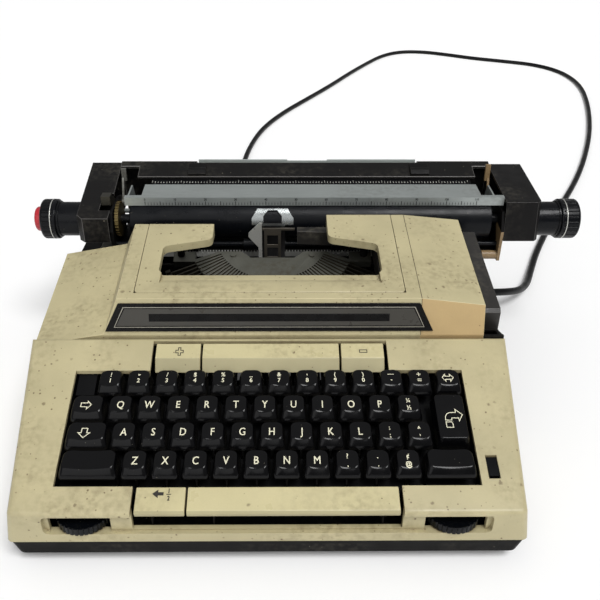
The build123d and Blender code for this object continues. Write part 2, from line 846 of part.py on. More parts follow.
# Right side panel: outer wall, front corner and the shelf the cartridge slides on
shelf_gap = 0.1
with BuildPart() as right_side_panel:
    panel_out = body_half_width - 0.5
    wall_outline = [
        (cover_front, body_low), (cover_front, deck_z(deck_depth) - 1),
        (cartridge_front, cartridge_top(cartridge_front) - cartridge_thickness - shelf_gap),
        (rear_front - seam, cartridge_top(rear_front) - cartridge_thickness - shelf_gap),
        (rear_front - seam, body_low),
    ]
    add(prism_x(wall_outline, panel_out - 3, panel_out))
    add(prism_x(
        [(cover_front, body_low), (cover_front, deck_z(deck_depth) - 1),
         (cover_front + 3, deck_z(deck_depth) - 1.4), (cover_front + 3, body_low)],
        cover_right + seam, panel_out,
    ))
    shelf_start = cartridge_top(cartridge_front) - cartridge_thickness - shelf_gap
    shelf_end = cartridge_top(rear_front) - cartridge_thickness - shelf_gap
    add(prism_x(
        [(cartridge_front, shelf_start), (rear_front - seam, shelf_end),
         (rear_front - seam, shelf_end - 1.6), (cartridge_front, shelf_start - 1.6)],
        shelf_left, panel_out,
    ))
keep("right_side_panel", right_side_panel.part)


def side_plate(x):
    """A steel side plate with holes for the lever shaft and the power roll."""
    front = lever_shaft_y - 28
    outline = [
        (front, floor_top), (front, frame_top - 21), (bridge_front - 2.65, frame_top - 13),
        (platen_y - 13, frame_top), (frame_back - 7, frame_top), (frame_back, frame_top - 9),
        (frame_back, floor_top),
    ]
    with BuildPart() as plate:
        with BuildSketch(Plane.YZ.offset(x - frame_plate / 2)):
            with BuildLine():
                Polyline(*outline, close=True)
            make_face()
            with Locations((lever_shaft_y, lever_shaft_z)):
                Circle(lever_shaft_radius, mode=Mode.SUBTRACT)
            with Locations((roll_y, roll_z)):
                Circle(roll_shaft_radius + running_clearance, mode=Mode.SUBTRACT)
        extrude(amount=frame_plate)
    return plate.part


# Side frames, the bridge between them and the two posts that guide the type basket
frame_pieces = [side_plate(-frame_x), side_plate(frame_x)]
with BuildPart() as bridge:
    with BuildSketch(Plane.XZ.offset(-bridge_front)):
        with Locations((0, (bridge_low + bridge_top) / 2)):
            Rectangle(2 * frame_x - frame_plate, bridge_top - bridge_low)
    extrude(amount=-bridge_thickness)
frame_pieces.append(bridge.part)
for side in (-1, 1):
    with BuildPart() as post:
        with BuildSketch(Plane.XY.offset(floor_top)):
            with Locations((print_x + side * guide_rod_x, guide_rod_y)):
                Circle(guide_rod_radius)
        extrude(amount=guide_rod_top - floor_top)
    frame_pieces.append(post.part)
keep("side_frames", key_group(frame_pieces))

# Carriage rail on the side frames
keep("carriage_rail", prism_x(
    [(rail_front, frame_top), (rail_back, frame_top), (rail_back, frame_top + rail_height),
     (rail_front, frame_top + rail_height)],
    -frame_x - 5, frame_x + 5,
))

# Motor with its foot and shaft
with BuildPart() as motor:
    add(rod_x(motor_y, motor_z, motor_radius, -100, -20))
    fillet(motor.edges().filter_by(GeomType.CIRCLE), radius=3)
    add(rod_x(motor_y, motor_z, 3, -20, 8))
    with BuildSketch(Plane.XY.offset(floor_top)):
        with Locations((-60, motor_y)):
            Rectangle(50, 26)
    extrude(amount=motor_z - motor_radius / 2 - floor_top)
keep("motor", motor.part)

# Power roll
with BuildPart() as power_roll:
    add(rod_x(roll_y, roll_z, roll_radius, -frame_x + 12, frame_x - 12))
    add(rod_x(roll_y, roll_z, roll_shaft_radius, -frame_x - 3, frame_x + 3))
keep("power_roll", power_roll.part)

# Type basket: a slotted segment about the printing point and the type bars lying in its slots
basket_plane = Plane(origin=(print_x, basket_y, basket_z), x_dir=(1, 0, 0),
                     z_dir=(0, -sin(radians(basket_angle)), cos(radians(basket_angle))))
with BuildPart() as type_segment:
    with BuildSketch(basket_plane):
        Circle(segment_outer)
        with BuildLine():
            Polyline(
                (-segment_outer, segment_outer), (-segment_outer, segment_edge - 11),
                (-63, segment_edge - 8.3),
                (-44, segment_edge), (-26, segment_edge), (-18, segment_notch), (18, segment_notch),
                (26, segment_edge), (44, segment_edge), (63, segment_edge - 8.3),
                (segment_outer, segment_edge - 11), (segment_outer, segment_outer), close=True,
            )
        make_face(mode=Mode.SUBTRACT)
        rod_v = (guide_rod_y - basket_y) / cos(radians(basket_angle))
        with Locations((3 - guide_rod_x, rod_v), (guide_rod_x - 3, rod_v)):
            Rectangle(18, 11)
    extrude(amount=segment_thickness)
    with BuildSketch(basket_plane.offset(segment_thickness - slot_depth)):
        with PolarLocations((segment_inner + segment_outer + 4) / 2, type_bar_count, endpoint=True,
                            start_angle=-90 - fan_half_angle, angular_range=2 * fan_half_angle):
            Rectangle(segment_outer + 4 - segment_inner, type_bar_thickness + 0.3)
    extrude(amount=slot_depth, mode=Mode.SUBTRACT)
    with BuildSketch():
        with Locations((print_x - guide_rod_x, guide_rod_y), (print_x + guide_rod_x, guide_rod_y)):
            Circle(guide_rod_radius + running_clearance)
    extrude(amount=150, mode=Mode.SUBTRACT)
    with BuildSketch(basket_plane.offset(segment_thickness)):
        with Locations((-32.5, segment_edge - 4.3), (32.5, segment_edge - 4.3)):
            Circle(2.4)
    extrude(amount=1.2)
keep("type_segment", type_segment.part)

bar_pieces = []
for number in range(type_bar_count):
    angle = -90 - fan_half_angle + 2 * fan_half_angle * number / (type_bar_count - 1)
    with BuildPart() as type_bar:
        low = segment_thickness - slot_depth + 0.05
        with BuildSketch(basket_plane.offset(low)):
            with PolarLocations(segment_inner + 1.5 + type_bar_length / 2, 1, start_angle=angle):
                Rectangle(type_bar_length, type_bar_thickness)
        extrude(amount=type_bar_height)
        with BuildSketch(basket_plane.offset(low)):
            with PolarLocations(segment_inner + type_bar_length + 1, 1, start_angle=angle):
                Rectangle(4, 2.6)
        extrude(amount=type_bar_height + 3)
    bar_pieces.append(type_bar.part)
keep("typebars", key_group(bar_pieces))

# Type guide: a two-window ladder on the front of the bridge
with BuildPart() as type_guide:
    with BuildSketch(Plane.XZ.offset(-bridge_front + running_clearance)):
        with Locations((print_x, 90.5)):
            Rectangle(guide_width, 57)
        with Locations((print_x, 96.5), (print_x, 108)):
            Rectangle(guide_width - 5, 8.6, mode=Mode.SUBTRACT)
        with Locations((print_x + 5, 118)):
            Rectangle(27, 2)
    extrude(amount=1.2)
keep("type_guide", type_guide.part)

# Alignment pointer beside the type guide
with BuildPart() as alignment_pointer:
    with BuildSketch(Plane.XZ.offset(-bridge_front)):
        with BuildLine():
            Polyline(
                (-7.4, 110.4), (-9.4, 110.4), (-18.6, 101), (-18.8, 97.5), (-10.5, 87.6), (-10.5, 74),
                (-7.4, 74), close=True,
            )
        make_face()
    extrude(amount=1.1)
keep("alignment_pointer", alignment_pointer.part)

# Card holder: two wings curved round the platen's front with an arch between, on a foot behind the bridge
with BuildPart() as card_holder:
    wing_end = 17.5
    wing_low = platen_z + 2.6
    with BuildSketch(Plane.YZ.offset(print_x - wing_end)):
        with Locations((platen_y, platen_z)):
            Circle(holder_radius)
            Circle(holder_radius - 1.0, mode=Mode.SUBTRACT)
            Rectangle(80, 40, align=(Align.CENTER, Align.MAX), mode=Mode.SUBTRACT)
        with BuildLine():
            Polyline(
                (platen_y, platen_z), (platen_y - 40 * sin(holder_end), platen_z + 40 * cos(holder_end)),
                (platen_y + 40, platen_z + 40), (platen_y + 40, platen_z), close=True,
            )
        make_face(mode=Mode.SUBTRACT)
        with Locations((platen_y - holder_radius + 0.5, (platen_z + bridge_top - 9) / 2)):
            Rectangle(1.0, platen_z - bridge_top + 9)
        foot_front, foot_back = bridge_front + bridge_thickness, platen_y - holder_radius + 1
        with Locations(((foot_front + foot_back) / 2, bridge_top - 7)):
            Rectangle(foot_back - foot_front, 4)
    extrude(amount=2 * wing_end)
    with BuildSketch(Plane.XZ.offset(-bridge_front)) as holder_cuts:
        with BuildLine():
            Polyline(
                (print_x - 7.8, wing_low + 1), (print_x - 7.8, wing_low + 7), (print_x - 4, wing_low + 11),
                (print_x + 4, wing_low + 11), (print_x + 7.8, wing_low + 7), (print_x + 7.8, wing_low + 1),
                close=True,
            )
        make_face()
        for side in (-1, 1):
            with Locations((print_x + side * wing_end, wing_low - 30)):
                Rectangle(14, 60)
            with BuildLine():
                Polyline((print_x + side * wing_end, wing_low + 5.5), (print_x + side * 12, wing_low + 13),
                         (print_x + side * wing_end, wing_low + 13), close=True)
            make_face()
    extrude(amount=-platen_radius, mode=Mode.SUBTRACT)
keep("card_holder", card_holder.part)

# Ribbon cartridge: sloping body under the cover and a nose in front of the platen
with BuildPart() as ribbon_cartridge:
    top_front = cartridge_top(cartridge_front)
    top_rear = cartridge_top(cartridge_back)
    add(prism_x(
        [(cartridge_front, top_front - cartridge_thickness), (cartridge_front, top_front - 2),
         (cartridge_front + 2, top_front + 0.3), (cartridge_back, top_rear),
         (cartridge_back, top_rear - cartridge_thickness)],
        cartridge_left, cartridge_right,
    ))
    with BuildSketch(Plane.XY.offset(107)):
        with BuildLine():
            Polyline((22, 234), (22, 242.4), (110, 242.4), (110, 228), (84, 228), (60, 231.5), close=True)
        make_face()
    extrude(amount=11.7)
keep("ribbon_cartridge", ribbon_cartridge.part)


def on_carriage(x):
    """Place of something measured from the carriage's middle."""
    return carriage_x + x


def table_z(y):
    """Height of the middle of the paper table's sheet."""
    return platen_z + table_rise + (y - table_front) * table_slope


# Carriage frame: a beam that straddles the rail, an end plate at each side
plate_outline = [
    (plate_front, platen_z - 3.9), (plate_front + 6, platen_z + 12.1), (plate_back - 13, platen_z + 12.1),
    (plate_back, platen_z + 8.1), (plate_back, plate_low), (plate_front, plate_low),
]
rail_way = rail_back - rail_front + 2 * running_clearance
with BuildPart() as carriage_frame:
    with BuildSketch(Plane.YZ.offset(on_carriage(left_cover_in))):
        with Locations(((beam_front + beam_back) / 2, (plate_low + beam_top) / 2)):
            Rectangle(beam_back - beam_front, beam_top - plate_low)
        with Locations(((rail_front + rail_back) / 2, frame_top + rail_height)):
            Rectangle(rail_way, 2 * running_clearance, mode=Mode.SUBTRACT)
        with Locations(((rail_front + rail_back) / 2, (plate_low + frame_top + rail_height) / 2)):
            Rectangle(rail_way, frame_top + rail_height - plate_low, mode=Mode.SUBTRACT)
    extrude(amount=right_cover_in - left_cover_in)
    for x in (left_cover_in, right_cover_in - plate_thickness):
        with BuildSketch(Plane.YZ.offset(on_carriage(x))):
            with BuildLine():
                Polyline(*plate_outline, close=True)
            make_face()
            with Locations(((rail_front + rail_back) / 2, (plate_low + frame_top + rail_height) / 2)):
                Rectangle(rail_way, frame_top + rail_height - plate_low + 2 * running_clearance,
                          mode=Mode.SUBTRACT)
            with Locations((platen_y, platen_z)):
                Circle(shaft_radius + running_clearance, mode=Mode.SUBTRACT)
            with Locations((bail_pivot_y, bail_pivot_z)):
                Circle(2 + running_clearance, mode=Mode.SUBTRACT)
            with Locations((roller_y, platen_z - roller_drop)):
                Circle(2 + running_clearance, mode=Mode.SUBTRACT)
        extrude(amount=plate_thickness)
    add(rod_x(plate_front + 4, plate_low + 4, 3.8, on_carriage(149.5), on_carriage(right_cover_in - 1)))
keep("carriage_frame", carriage_frame.part)


def end_cover(name, profile, outer, inner, corner):
    """A hollow end cover: closed outside, in front, above and behind, open inside and below."""
    step = end_cover_wall if outer > inner else -end_cover_wall
    with BuildPart() as cover:
        add(prism_x(profile, min(outer, inner), max(outer, inner)))
        front_corner = cover.edges().filter_by(lambda e: abs(e.center().X - outer) < 0.1)
        chamfer(front_corner.sort_by(Axis.Y)[0], length=corner)
        fillet(cover.edges().filter_by(Axis.X).group_by(Axis.Z)[-1], radius=2)
        with BuildPart(mode=Mode.PRIVATE) as cavity:
            with BuildSketch(Plane.YZ.offset(outer - step)):
                with BuildLine():
                    Polyline(*profile, close=True)
                make_face()
                offset(amount=-end_cover_wall, kind=Kind.INTERSECTION)
                with Locations(((profile[0][0] + rear_y) / 2, end_cover_low)):
                    Rectangle(rear_y - profile[0][0] - 2 * end_cover_wall + 1, 2 * end_cover_wall + 2)
            extrude(amount=inner - outer)
            inside_corner = cavity.edges().filter_by(lambda e: abs(e.center().X - outer + step) < 0.1)
            chamfer(inside_corner.sort_by(Axis.Y)[0], length=corner - 1)
        add(cavity.part, mode=Mode.SUBTRACT)
        if outer < inner:
            lever_slot = [(platen_y - 11, platen_z + 2.1), (platen_y + 12, platen_z + 2.1),
                          (platen_y + 12, platen_z + 34), (platen_y - 11, platen_z + 34)]
            add(prism_x(lever_slot, inner - 9, inner + 1), mode=Mode.SUBTRACT)
        hole = sorted((outer + step, outer - step))
        add(rod_x(platen_y, platen_z, neck_radius + 0.2, *hole), mode=Mode.SUBTRACT)
    keep(name, cover.part)


left_profile = [
    (platen_y - 22, end_cover_low), (platen_y - 22, platen_z + 10.1), (rear_y - 3, platen_z + 29.4),
    (rear_y + 1, platen_z + 26.1), (rear_y + 1, end_cover_low),
]
right_profile = [
    (platen_y - 20, end_cover_low), (platen_y - 14, platen_z + 21.1), (rear_y - 3, platen_z + 27.9),
    (rear_y + 1, platen_z + 25.1), (rear_y + 1, end_cover_low),
]
end_cover("left_end_cover", left_profile, on_carriage(-cover_out), on_carriage(left_cover_in), 5)
end_cover("right_end_cover", right_profile, on_carriage(cover_out), on_carriage(right_cover_in), 3)

# Paper table and rear wall of the carriage, notched for the two rear levers and slotted for the support
table_back = rear_y - 4
table_path = [
    (table_front, table_z(table_front)), (table_back, table_z(table_back)), (rear_y, platen_z + 26.2),
    (rear_y, plate_low + 3.4), (beam_back, plate_low + 3.4),
]
notch = [(table_front - 2, platen_z + 16), (table_front + 14, platen_z + 16),
         (table_front + 14, platen_z + 34), (table_front - 2, platen_z + 34)]
support_slot = [(rear_y - 5.5, platen_z + 14), (rear_y - sheet / 2, platen_z + 14),
                (rear_y - sheet / 2, platen_z + 36), (rear_y - 5.5, platen_z + 36)]
support_middle = platen_z + 6.8
support_half_width = 98.5
with BuildPart() as carriage_rear_cover:
    add(bent_sheet(table_path, sheet, on_carriage(left_cover_in), on_carriage(right_cover_in)))
    for left, right in ((left_cover_in - 1, lever_notch_left), (lever_notch_right, right_cover_in + 1)):
        add(prism_x(notch, on_carriage(left), on_carriage(right)), mode=Mode.SUBTRACT)
    add(prism_x(support_slot, on_carriage(-support_half_width - 1), on_carriage(support_half_width + 1)),
        mode=Mode.SUBTRACT)
keep("carriage_rear_cover", carriage_rear_cover.part)

# Margin scale: a light strip hung under the table's front edge
table_slant = hypot(1, table_slope)
scale_drop = (sheet / 2 + 0.6) * table_slant
scale_bend, scale_back = table_front - 0.6, table_front + 8
scale_path = [(table_front - 5.5, platen_z + 19.6), (scale_bend, table_z(scale_bend) - scale_drop),
              (scale_back, table_z(scale_back) - scale_drop)]
keep("margin_scale", bent_sheet(scale_path, 1.2, on_carriage(-138.4), on_carriage(144.7)))


def margin_stop(name, left, right):
    """A slider that lies on the paper table, with a raised grip."""
    under = sheet / 2 * table_slant + running_clearance
    corners = [(1, 0), (16, 0), (16, 1.6), (9, 1.6), (7, 3.6), (4, 3.6), (1, 2)]
    outline = [(table_front + back, table_z(table_front + back) + under + up) for back, up in corners]
    keep(name, prism_x(outline, left, right))


margin_stop("margin_stop_left", -74, -58)
margin_stop("margin_stop_right", 124, 141)

# Paper support: a plate that pulls up behind the table
with BuildPart() as paper_support:
    with BuildSketch(Plane.XZ.offset(-rear_y + sheet / 2 + running_clearance)):
        with Locations((on_carriage(0), support_middle)):
            Rectangle(2 * support_half_width, 50)
        with Locations((on_carriage(0), support_middle + 25.5)):
            Rectangle(36, 3, mode=Mode.SUBTRACT)
    extrude(amount=1.2)
keep("paper_support", paper_support.part)

# Escapement rack on the beam's front
with BuildPart() as escapement_rack:
    with BuildSketch(Plane.XZ.offset(-beam_front)):
        with Locations((on_carriage(0), plate_low + 3)):
            Rectangle(290, 4)
        with Locations((on_carriage(0), plate_low + 5.6)):
            with GridLocations(rack_pitch, 0, 112, 1):
                Rectangle(rack_pitch * 0.5, 1.8)
    extrude(amount=1.6)
keep("escapement_rack", escapement_rack.part)

# Feed rollers under the platen
with BuildPart() as feed_rollers:
    axis_z = platen_z - roller_drop
    add(rod_x(roller_y, axis_z, 2, on_carriage(left_cover_in), on_carriage(right_cover_in)))
    for middle in (-112, -38, 38, 112):
        add(rod_x(roller_y, axis_z, roller_radius, on_carriage(middle - 18), on_carriage(middle + 18)))
keep("feed_rollers", feed_rollers.part)

# Paper bail: an angle with a scale edge, an arm at each end and a pivot rod
bail_left, bail_right = on_carriage(-155.5), on_carriage(164.5)
bail_top = platen_z + 22.2
bail_path = [(bail_front, bail_top - 6.6), (bail_front, bail_top), (bail_front + 24.9, bail_top + 1.2)]
with BuildPart() as paper_bail:
    add(bent_sheet(bail_path, bail_sheet, bail_left + 14, bail_right - 19))
    add(bent_sheet(bail_path[:2] + [(bail_front + 3.9, bail_top + 0.19)], bail_sheet, bail_left, bail_right))
    for x in (on_carriage(bail_arm_left), on_carriage(bail_arm_right)):
        add(prism_x(
            [(bail_front, bail_top), (bail_front + 24.9, bail_top + 1.2),
             (bail_pivot_y + 4.5, bail_pivot_z + 2), (bail_pivot_y + 3, bail_pivot_z - 3.6),
             (bail_pivot_y - 2, bail_pivot_z - 3.6), (bail_pivot_y - 6.4, bail_pivot_z + 2),
             (bail_front + 13.9, bail_top - 3.5), (bail_front, bail_top - 3.5)],
            x, x + bail_sheet,
        ))
    add(rod_x(bail_pivot_y, bail_pivot_z, 2, on_carriage(left_cover_in), on_carriage(right_cover_in)))
keep("paper_bail", paper_bail.part)

# Platen: rubber roller on a steel shaft
shaft_left = on_carriage(-left_knob_outer + 6)
shaft_right = on_carriage(right_knob_outer - 6)
with BuildPart() as platen:
    add(rod_x(platen_y, platen_z, platen_radius, on_carriage(platen_left), on_carriage(platen_right)))
    chamfer(platen.edges().filter_by(GeomType.CIRCLE), length=0.6)
    add(rod_x(platen_y, platen_z, shaft_radius, shaft_left, shaft_right))
keep("platen", platen.part)


def knob(name, outer, side):
    """A fluted knob, its bright ring and a long neck that reaches into the end cover."""
    inner = side * knob_inner
    neck_end = side * (cover_out - 2.2)
    low, high = sorted((outer, inner))
    with BuildPart() as piece:
        with BuildSketch(Plane.YZ.offset(on_carriage(low))):
            with Locations((platen_y, platen_z)):
                Circle(knob_radius)
        extrude(amount=high - low)
        fillet(piece.edges().filter_by(GeomType.CIRCLE).sort_by(Axis.X)[-1 if side > 0 else 0], radius=2.5)
        fillet(piece.edges().filter_by(GeomType.CIRCLE).sort_by(Axis.X)[0 if side > 0 else -1], radius=1.2)
        with BuildSketch(Plane.YZ.offset(on_carriage(low) + 2.2)):
            with Locations((platen_y, platen_z)):
                with PolarLocations(knob_radius + 0.2, knob_flutes):
                    Circle(0.8, mode=Mode.ADD)
        extrude(amount=high - low - 4.4, mode=Mode.SUBTRACT)
        low, high = sorted((inner, neck_end))
        add(rod_x(platen_y, platen_z, neck_radius, on_carriage(low), on_carriage(high)))
        low, high = sorted((inner, inner - side * 1.5))
        add(rod_x(platen_y, platen_z, neck_radius + 0.9, on_carriage(low), on_carriage(high)))
        add(rod_x(platen_y, platen_z, shaft_radius, shaft_left, shaft_right), mode=Mode.SUBTRACT)
        if side < 0:
            add(rod_x(platen_y, platen_z, button_radius + running_clearance,
                      on_carriage(outer) - 1, on_carriage(outer) + 6), mode=Mode.SUBTRACT)
    keep(name, piece.part)


knob("left_knob", -left_knob_outer, -1)
knob("right_knob", right_knob_outer, 1)

# Platen release button in the left knob
with BuildPart() as platen_button:
    button_outer = on_carriage(-left_knob_outer - button_stand_out)
    button_inner = on_carriage(-left_knob_outer + 6 - button_travel)
    add(rod_x(platen_y, platen_z, button_radius, button_outer, button_inner))
    fillet(platen_button.edges().filter_by(GeomType.CIRCLE).sort_by(Axis.X)[0], radius=2.5)
keep("platen_button", platen_button.part)

# Ratchet wheel on the platen shaft
with BuildPart() as ratchet_wheel:
    with BuildSketch(Plane.YZ.offset(on_carriage(left_cover_in + plate_thickness + 1.2))):
        with Locations((platen_y, platen_z)):
            Circle(15)
            with PolarLocations(15, 30):
                RegularPolygon(1.2, 3, mode=Mode.SUBTRACT)
            Circle(shaft_radius, mode=Mode.SUBTRACT)
    extrude(amount=3)
keep("ratchet_wheel", ratchet_wheel.part)


def side_lever(name, pivot, arm, tab, arm_left, tab_left, tab_right):
    """A flat lever on a round hub, with a wider finger tab; its outlines are measured from the pivot."""
    pivot_y, pivot_z = pivot
    left, right = on_carriage(arm_left), on_carriage(arm_left + lever_sheet)
    arm_outline = [(pivot_y + back, pivot_z + up) for back, up in arm]
    tab_outline = [(pivot_y + back, pivot_z + up) for back, up in tab]
    with BuildPart() as lever:
        add(prism_x(arm_outline, left, right))
        add(rod_x(pivot_y, pivot_z, lever_hub_radius, left, right))
        add(prism_x(tab_outline, on_carriage(tab_left), on_carriage(tab_right)))
    keep(name, lever.part)


lever_sheet = 1.8
line_lever_pivot = (platen_y + 18.5, platen_z + 4.1)
line_lever_arm = [(-3.5, -2), (-1, -3), (3.5, -1), (3.5, 3), (-15.5, 17), (-20.5, 17), (-20.5, 10)]
line_lever_tab = [(-22.5, 10), (-13.5, 10), (-13.5, 18), (-22.5, 18)]
side_lever("line_space_lever", line_lever_pivot, line_lever_arm, line_lever_tab,
           left_cover_in - lever_sheet - 0.1, left_cover_in - 8, left_cover_in - 0.1)
rear_lever_pivot = (platen_y + 29.5, platen_z + 2.6)
rear_lever_arm = [(-2.5, -1), (2.5, -1), (2.5, 2.5), (10, 20), (7.5, 20)]
carriage_lever_tab = [(7.5, 17), (10, 17), (10, 28.2), (7.5, 28.2)]
paper_lever_tab = [(7.5, 17), (10, 17), (10, 31.8), (7.5, 31.8)]
rear_tab_width = 4.2
left_arm = left_cover_in + plate_thickness + 0.1
right_arm = right_cover_in - plate_thickness - 0.1
side_lever("carriage_release_lever", rear_lever_pivot, rear_lever_arm, carriage_lever_tab,
           left_arm, left_arm, left_arm + rear_tab_width)
side_lever("paper_release_lever", rear_lever_pivot, rear_lever_arm, paper_lever_tab,
           right_arm - lever_sheet, right_arm - rear_tab_width, right_arm)

# Strain relief, cord and plug
relief_start = body_half_width - pan_inset
with BuildPart() as strain_relief:
    with BuildSketch(Plane.YZ.offset(relief_start)):
        with Locations((cord_exit_y, cord_exit_z)):
            Circle(6.5)
    with BuildSketch(Plane.YZ.offset(relief_start + relief_length)):
        with Locations((cord_exit_y, cord_exit_z)):
            Circle(cord_diameter / 2 + 0.7)
    loft()
keep("strain_relief", strain_relief.part)

floor_z = cord_diameter / 2
plug_z = 7.5
cord_points = [
    (relief_start + relief_length, cord_exit_y, cord_exit_z), (207, 286, cord_exit_z), (229, 296, 23),
    (248, 314, 14.5), (263, 339, 7.5), (277, 372, floor_z), (298, 419, floor_z), (333, 484, floor_z),
    (370, 548, floor_z), (404, 606, floor_z), (437, 668, floor_z), (472, 742, floor_z), (507, 824, floor_z),
    (540, 914, floor_z), (568, 1003, floor_z), (589, 1086, floor_z), (596, 1160, floor_z),
    (586, 1225, floor_z), (552, 1275, floor_z), (496, 1303, floor_z), (435, 1330, floor_z),
    (386, 1363, floor_z), (335, 1391, floor_z), (282, 1392, floor_z), (236, 1353, floor_z),
    (196, 1285, floor_z), (151, 1200, floor_z), (106, 1106, floor_z), (59, 1018, floor_z),
    (14, 934, floor_z), (-20, 850, floor_z), (-38, 762, floor_z), (-46, 674, floor_z),
    (-50, 600, floor_z), (-51, 545, 6.5), (-51, 505, plug_z), (-51, 470, plug_z),
]


def cord_radii(points):
    """Largest tangent arc at each corner that leaves a straight piece between corners."""
    radii = []
    for before, corner, after in zip(points, points[1:], points[2:]):
        run_in, run_out = Vector(*corner) - Vector(*before), Vector(*after) - Vector(*corner)
        half_turn = radians(run_in.get_angle(run_out)) / 2
        radii.append(0.45 * min(run_in.length, run_out.length) / tan(half_turn))
    return radii


radii = cord_radii(cord_points)
with BuildPart() as power_cord:
    with BuildLine() as route:
        FilletPolyline(*cord_points, radius=radii)
    with BuildSketch(Plane(origin=cord_points[0], z_dir=route.line % 0)):
        Circle(cord_diameter / 2)
    sweep()
keep("power_cord", power_cord.part)
cord_length = sum(edge.length for edge in route.edges())
print("smallest cord radius", round(min(radii), 1), "length", round(cord_length))
print("radii", [round(radius) for radius in radii])

with BuildPart() as cord_plug:
    plug_x, plug_y, _ = cord_points[-1]
    with BuildSketch(Plane.XZ.offset(-plug_y)):
        with Locations((plug_x, plug_z)):
            Circle(4.4)
    with BuildSketch(Plane.XZ.offset(-plug_y + 14)):
        with Locations((plug_x, plug_z)):
            RectangleRounded(18, 13, 4)
    with BuildSketch(Plane.XZ.offset(-plug_y + 34)):
        with Locations((plug_x, plug_z)):
            RectangleRounded(25, 14.6, 4)
    loft()
    with BuildSketch(Plane.XZ.offset(-plug_y + 34)):
        with Locations((plug_x - 6.35, plug_z), (plug_x + 6.35, plug_z)):
            Rectangle(1.5, 6.3)
    extrude(amount=16)
keep("cord_plug", cord_plug.part)

# The typewriter is centred on its own box, cord left out, and every piece is written
loose = ("power_cord", "cord_plug")
middle = Compound([shape for name, shape in parts.items() if name not in loose]).bounding_box().center()
to_origin = Location((-middle.X, -middle.Y, 0))
print("offset", to_origin.position)
os.makedirs("parts", exist_ok=True)
for name, shape in parts.items():
    placed = shape.moved(to_origin)
    placed.label = name
    export_step(placed, f"parts/{name}.step")
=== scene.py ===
import bmesh
import bpy
import json
from contextlib import contextmanager
from math import cos, pi, radians, sin
from mathutils import Matrix, Vector
from mathutils.bvhtree import BVHTree

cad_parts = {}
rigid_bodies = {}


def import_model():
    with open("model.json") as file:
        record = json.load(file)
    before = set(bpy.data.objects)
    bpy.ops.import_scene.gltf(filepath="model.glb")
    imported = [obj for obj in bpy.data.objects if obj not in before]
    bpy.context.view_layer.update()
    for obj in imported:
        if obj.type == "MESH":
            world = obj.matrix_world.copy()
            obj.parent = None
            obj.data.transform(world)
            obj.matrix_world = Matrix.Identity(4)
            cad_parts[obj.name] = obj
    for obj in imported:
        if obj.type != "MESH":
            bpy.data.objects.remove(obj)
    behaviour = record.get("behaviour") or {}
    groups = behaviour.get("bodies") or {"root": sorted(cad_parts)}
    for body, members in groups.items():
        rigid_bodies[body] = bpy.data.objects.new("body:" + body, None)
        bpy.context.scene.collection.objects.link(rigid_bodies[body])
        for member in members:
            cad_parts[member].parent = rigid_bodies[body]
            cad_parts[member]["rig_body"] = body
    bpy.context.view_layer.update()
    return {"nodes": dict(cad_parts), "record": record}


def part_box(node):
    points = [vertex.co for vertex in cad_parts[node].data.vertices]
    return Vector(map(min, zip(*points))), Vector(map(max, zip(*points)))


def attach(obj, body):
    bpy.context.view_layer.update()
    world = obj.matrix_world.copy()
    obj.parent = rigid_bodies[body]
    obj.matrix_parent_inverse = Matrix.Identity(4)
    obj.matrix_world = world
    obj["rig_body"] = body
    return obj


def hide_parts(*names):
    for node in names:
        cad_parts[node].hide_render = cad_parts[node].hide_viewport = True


bl_info = {
    "name": "Electric typewriter",
    "version": (1, 0, 0),
    "blender": (4, 5, 0),
    "location": "View3D > Sidebar > Typewriter",
    "description": "Finishes, legends and small parts of an electric typewriter on its packed frame",
    "category": "Object",
}

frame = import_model()
shell_low, shell_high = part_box("keyboard_shell")
middle_x = (shell_low.x + shell_high.x) / 2
front_y = shell_low.y
MM = 0.001
slots = {row["node"]: row["material_slot"] for row in frame["record"]["subparts"]}


def at(x, y, z):
    """A place in the machine's own millimetres: x from its middle, y from its front face, z up."""
    return Vector((middle_x + x * MM, front_y + y * MM, z * MM))


def in_machine(place):
    """A place in the scene, in the machine's own millimetres."""
    return (place - at(0, 0, 0)) / MM


def tone(red, green, blue):
    """A screen colour, 0 to 255 a channel, as the linear colour that materials take."""
    return tuple(((channel / 255 + 0.055) / 1.055) ** 2.4 for channel in (red, green, blue))


def shade(colour, amount):
    """The same colour, lighter or darker."""
    return tuple(min(1.0, channel * amount) for channel in colour)


# Sizes and colours that a user would change

def colour_setting(name, description, default):
    return bpy.props.FloatVectorProperty(
        name=name, description=description, subtype="COLOR", size=3, min=0, max=1, default=default)


def length_setting(name, description, default):
    return bpy.props.FloatProperty(
        name=name, description=description, subtype="DISTANCE", unit="LENGTH", min=0, default=default)


class TypewriterSizes(bpy.types.PropertyGroup):
    shell_edge: length_setting("Shell edge", "Rounding of the beige shells' edges", 0.0011)
    key_edge: length_setting("Key edge", "Rounding of the edges of the return key and the bars", 0.0007)
    legend_lift: length_setting("Legend lift", "How far printed marks stand off the surface", 0.00012)
    letter_height: length_setting("Letter height", "Depth of a letter on a key top", 0.0060)
    figure_height: length_setting("Figure height", "Depth of the lower of two marks on a key top", 0.0037)
    scale_pitch: length_setting("Scale pitch", "Distance between two marks of the scales", 0.00254)
    lead_diameter: length_setting("Lead diameter", "Diameter of the mains lead", 0.007)
    lead_length: length_setting("Lead length", "Real length of the mains lead", 2.42)


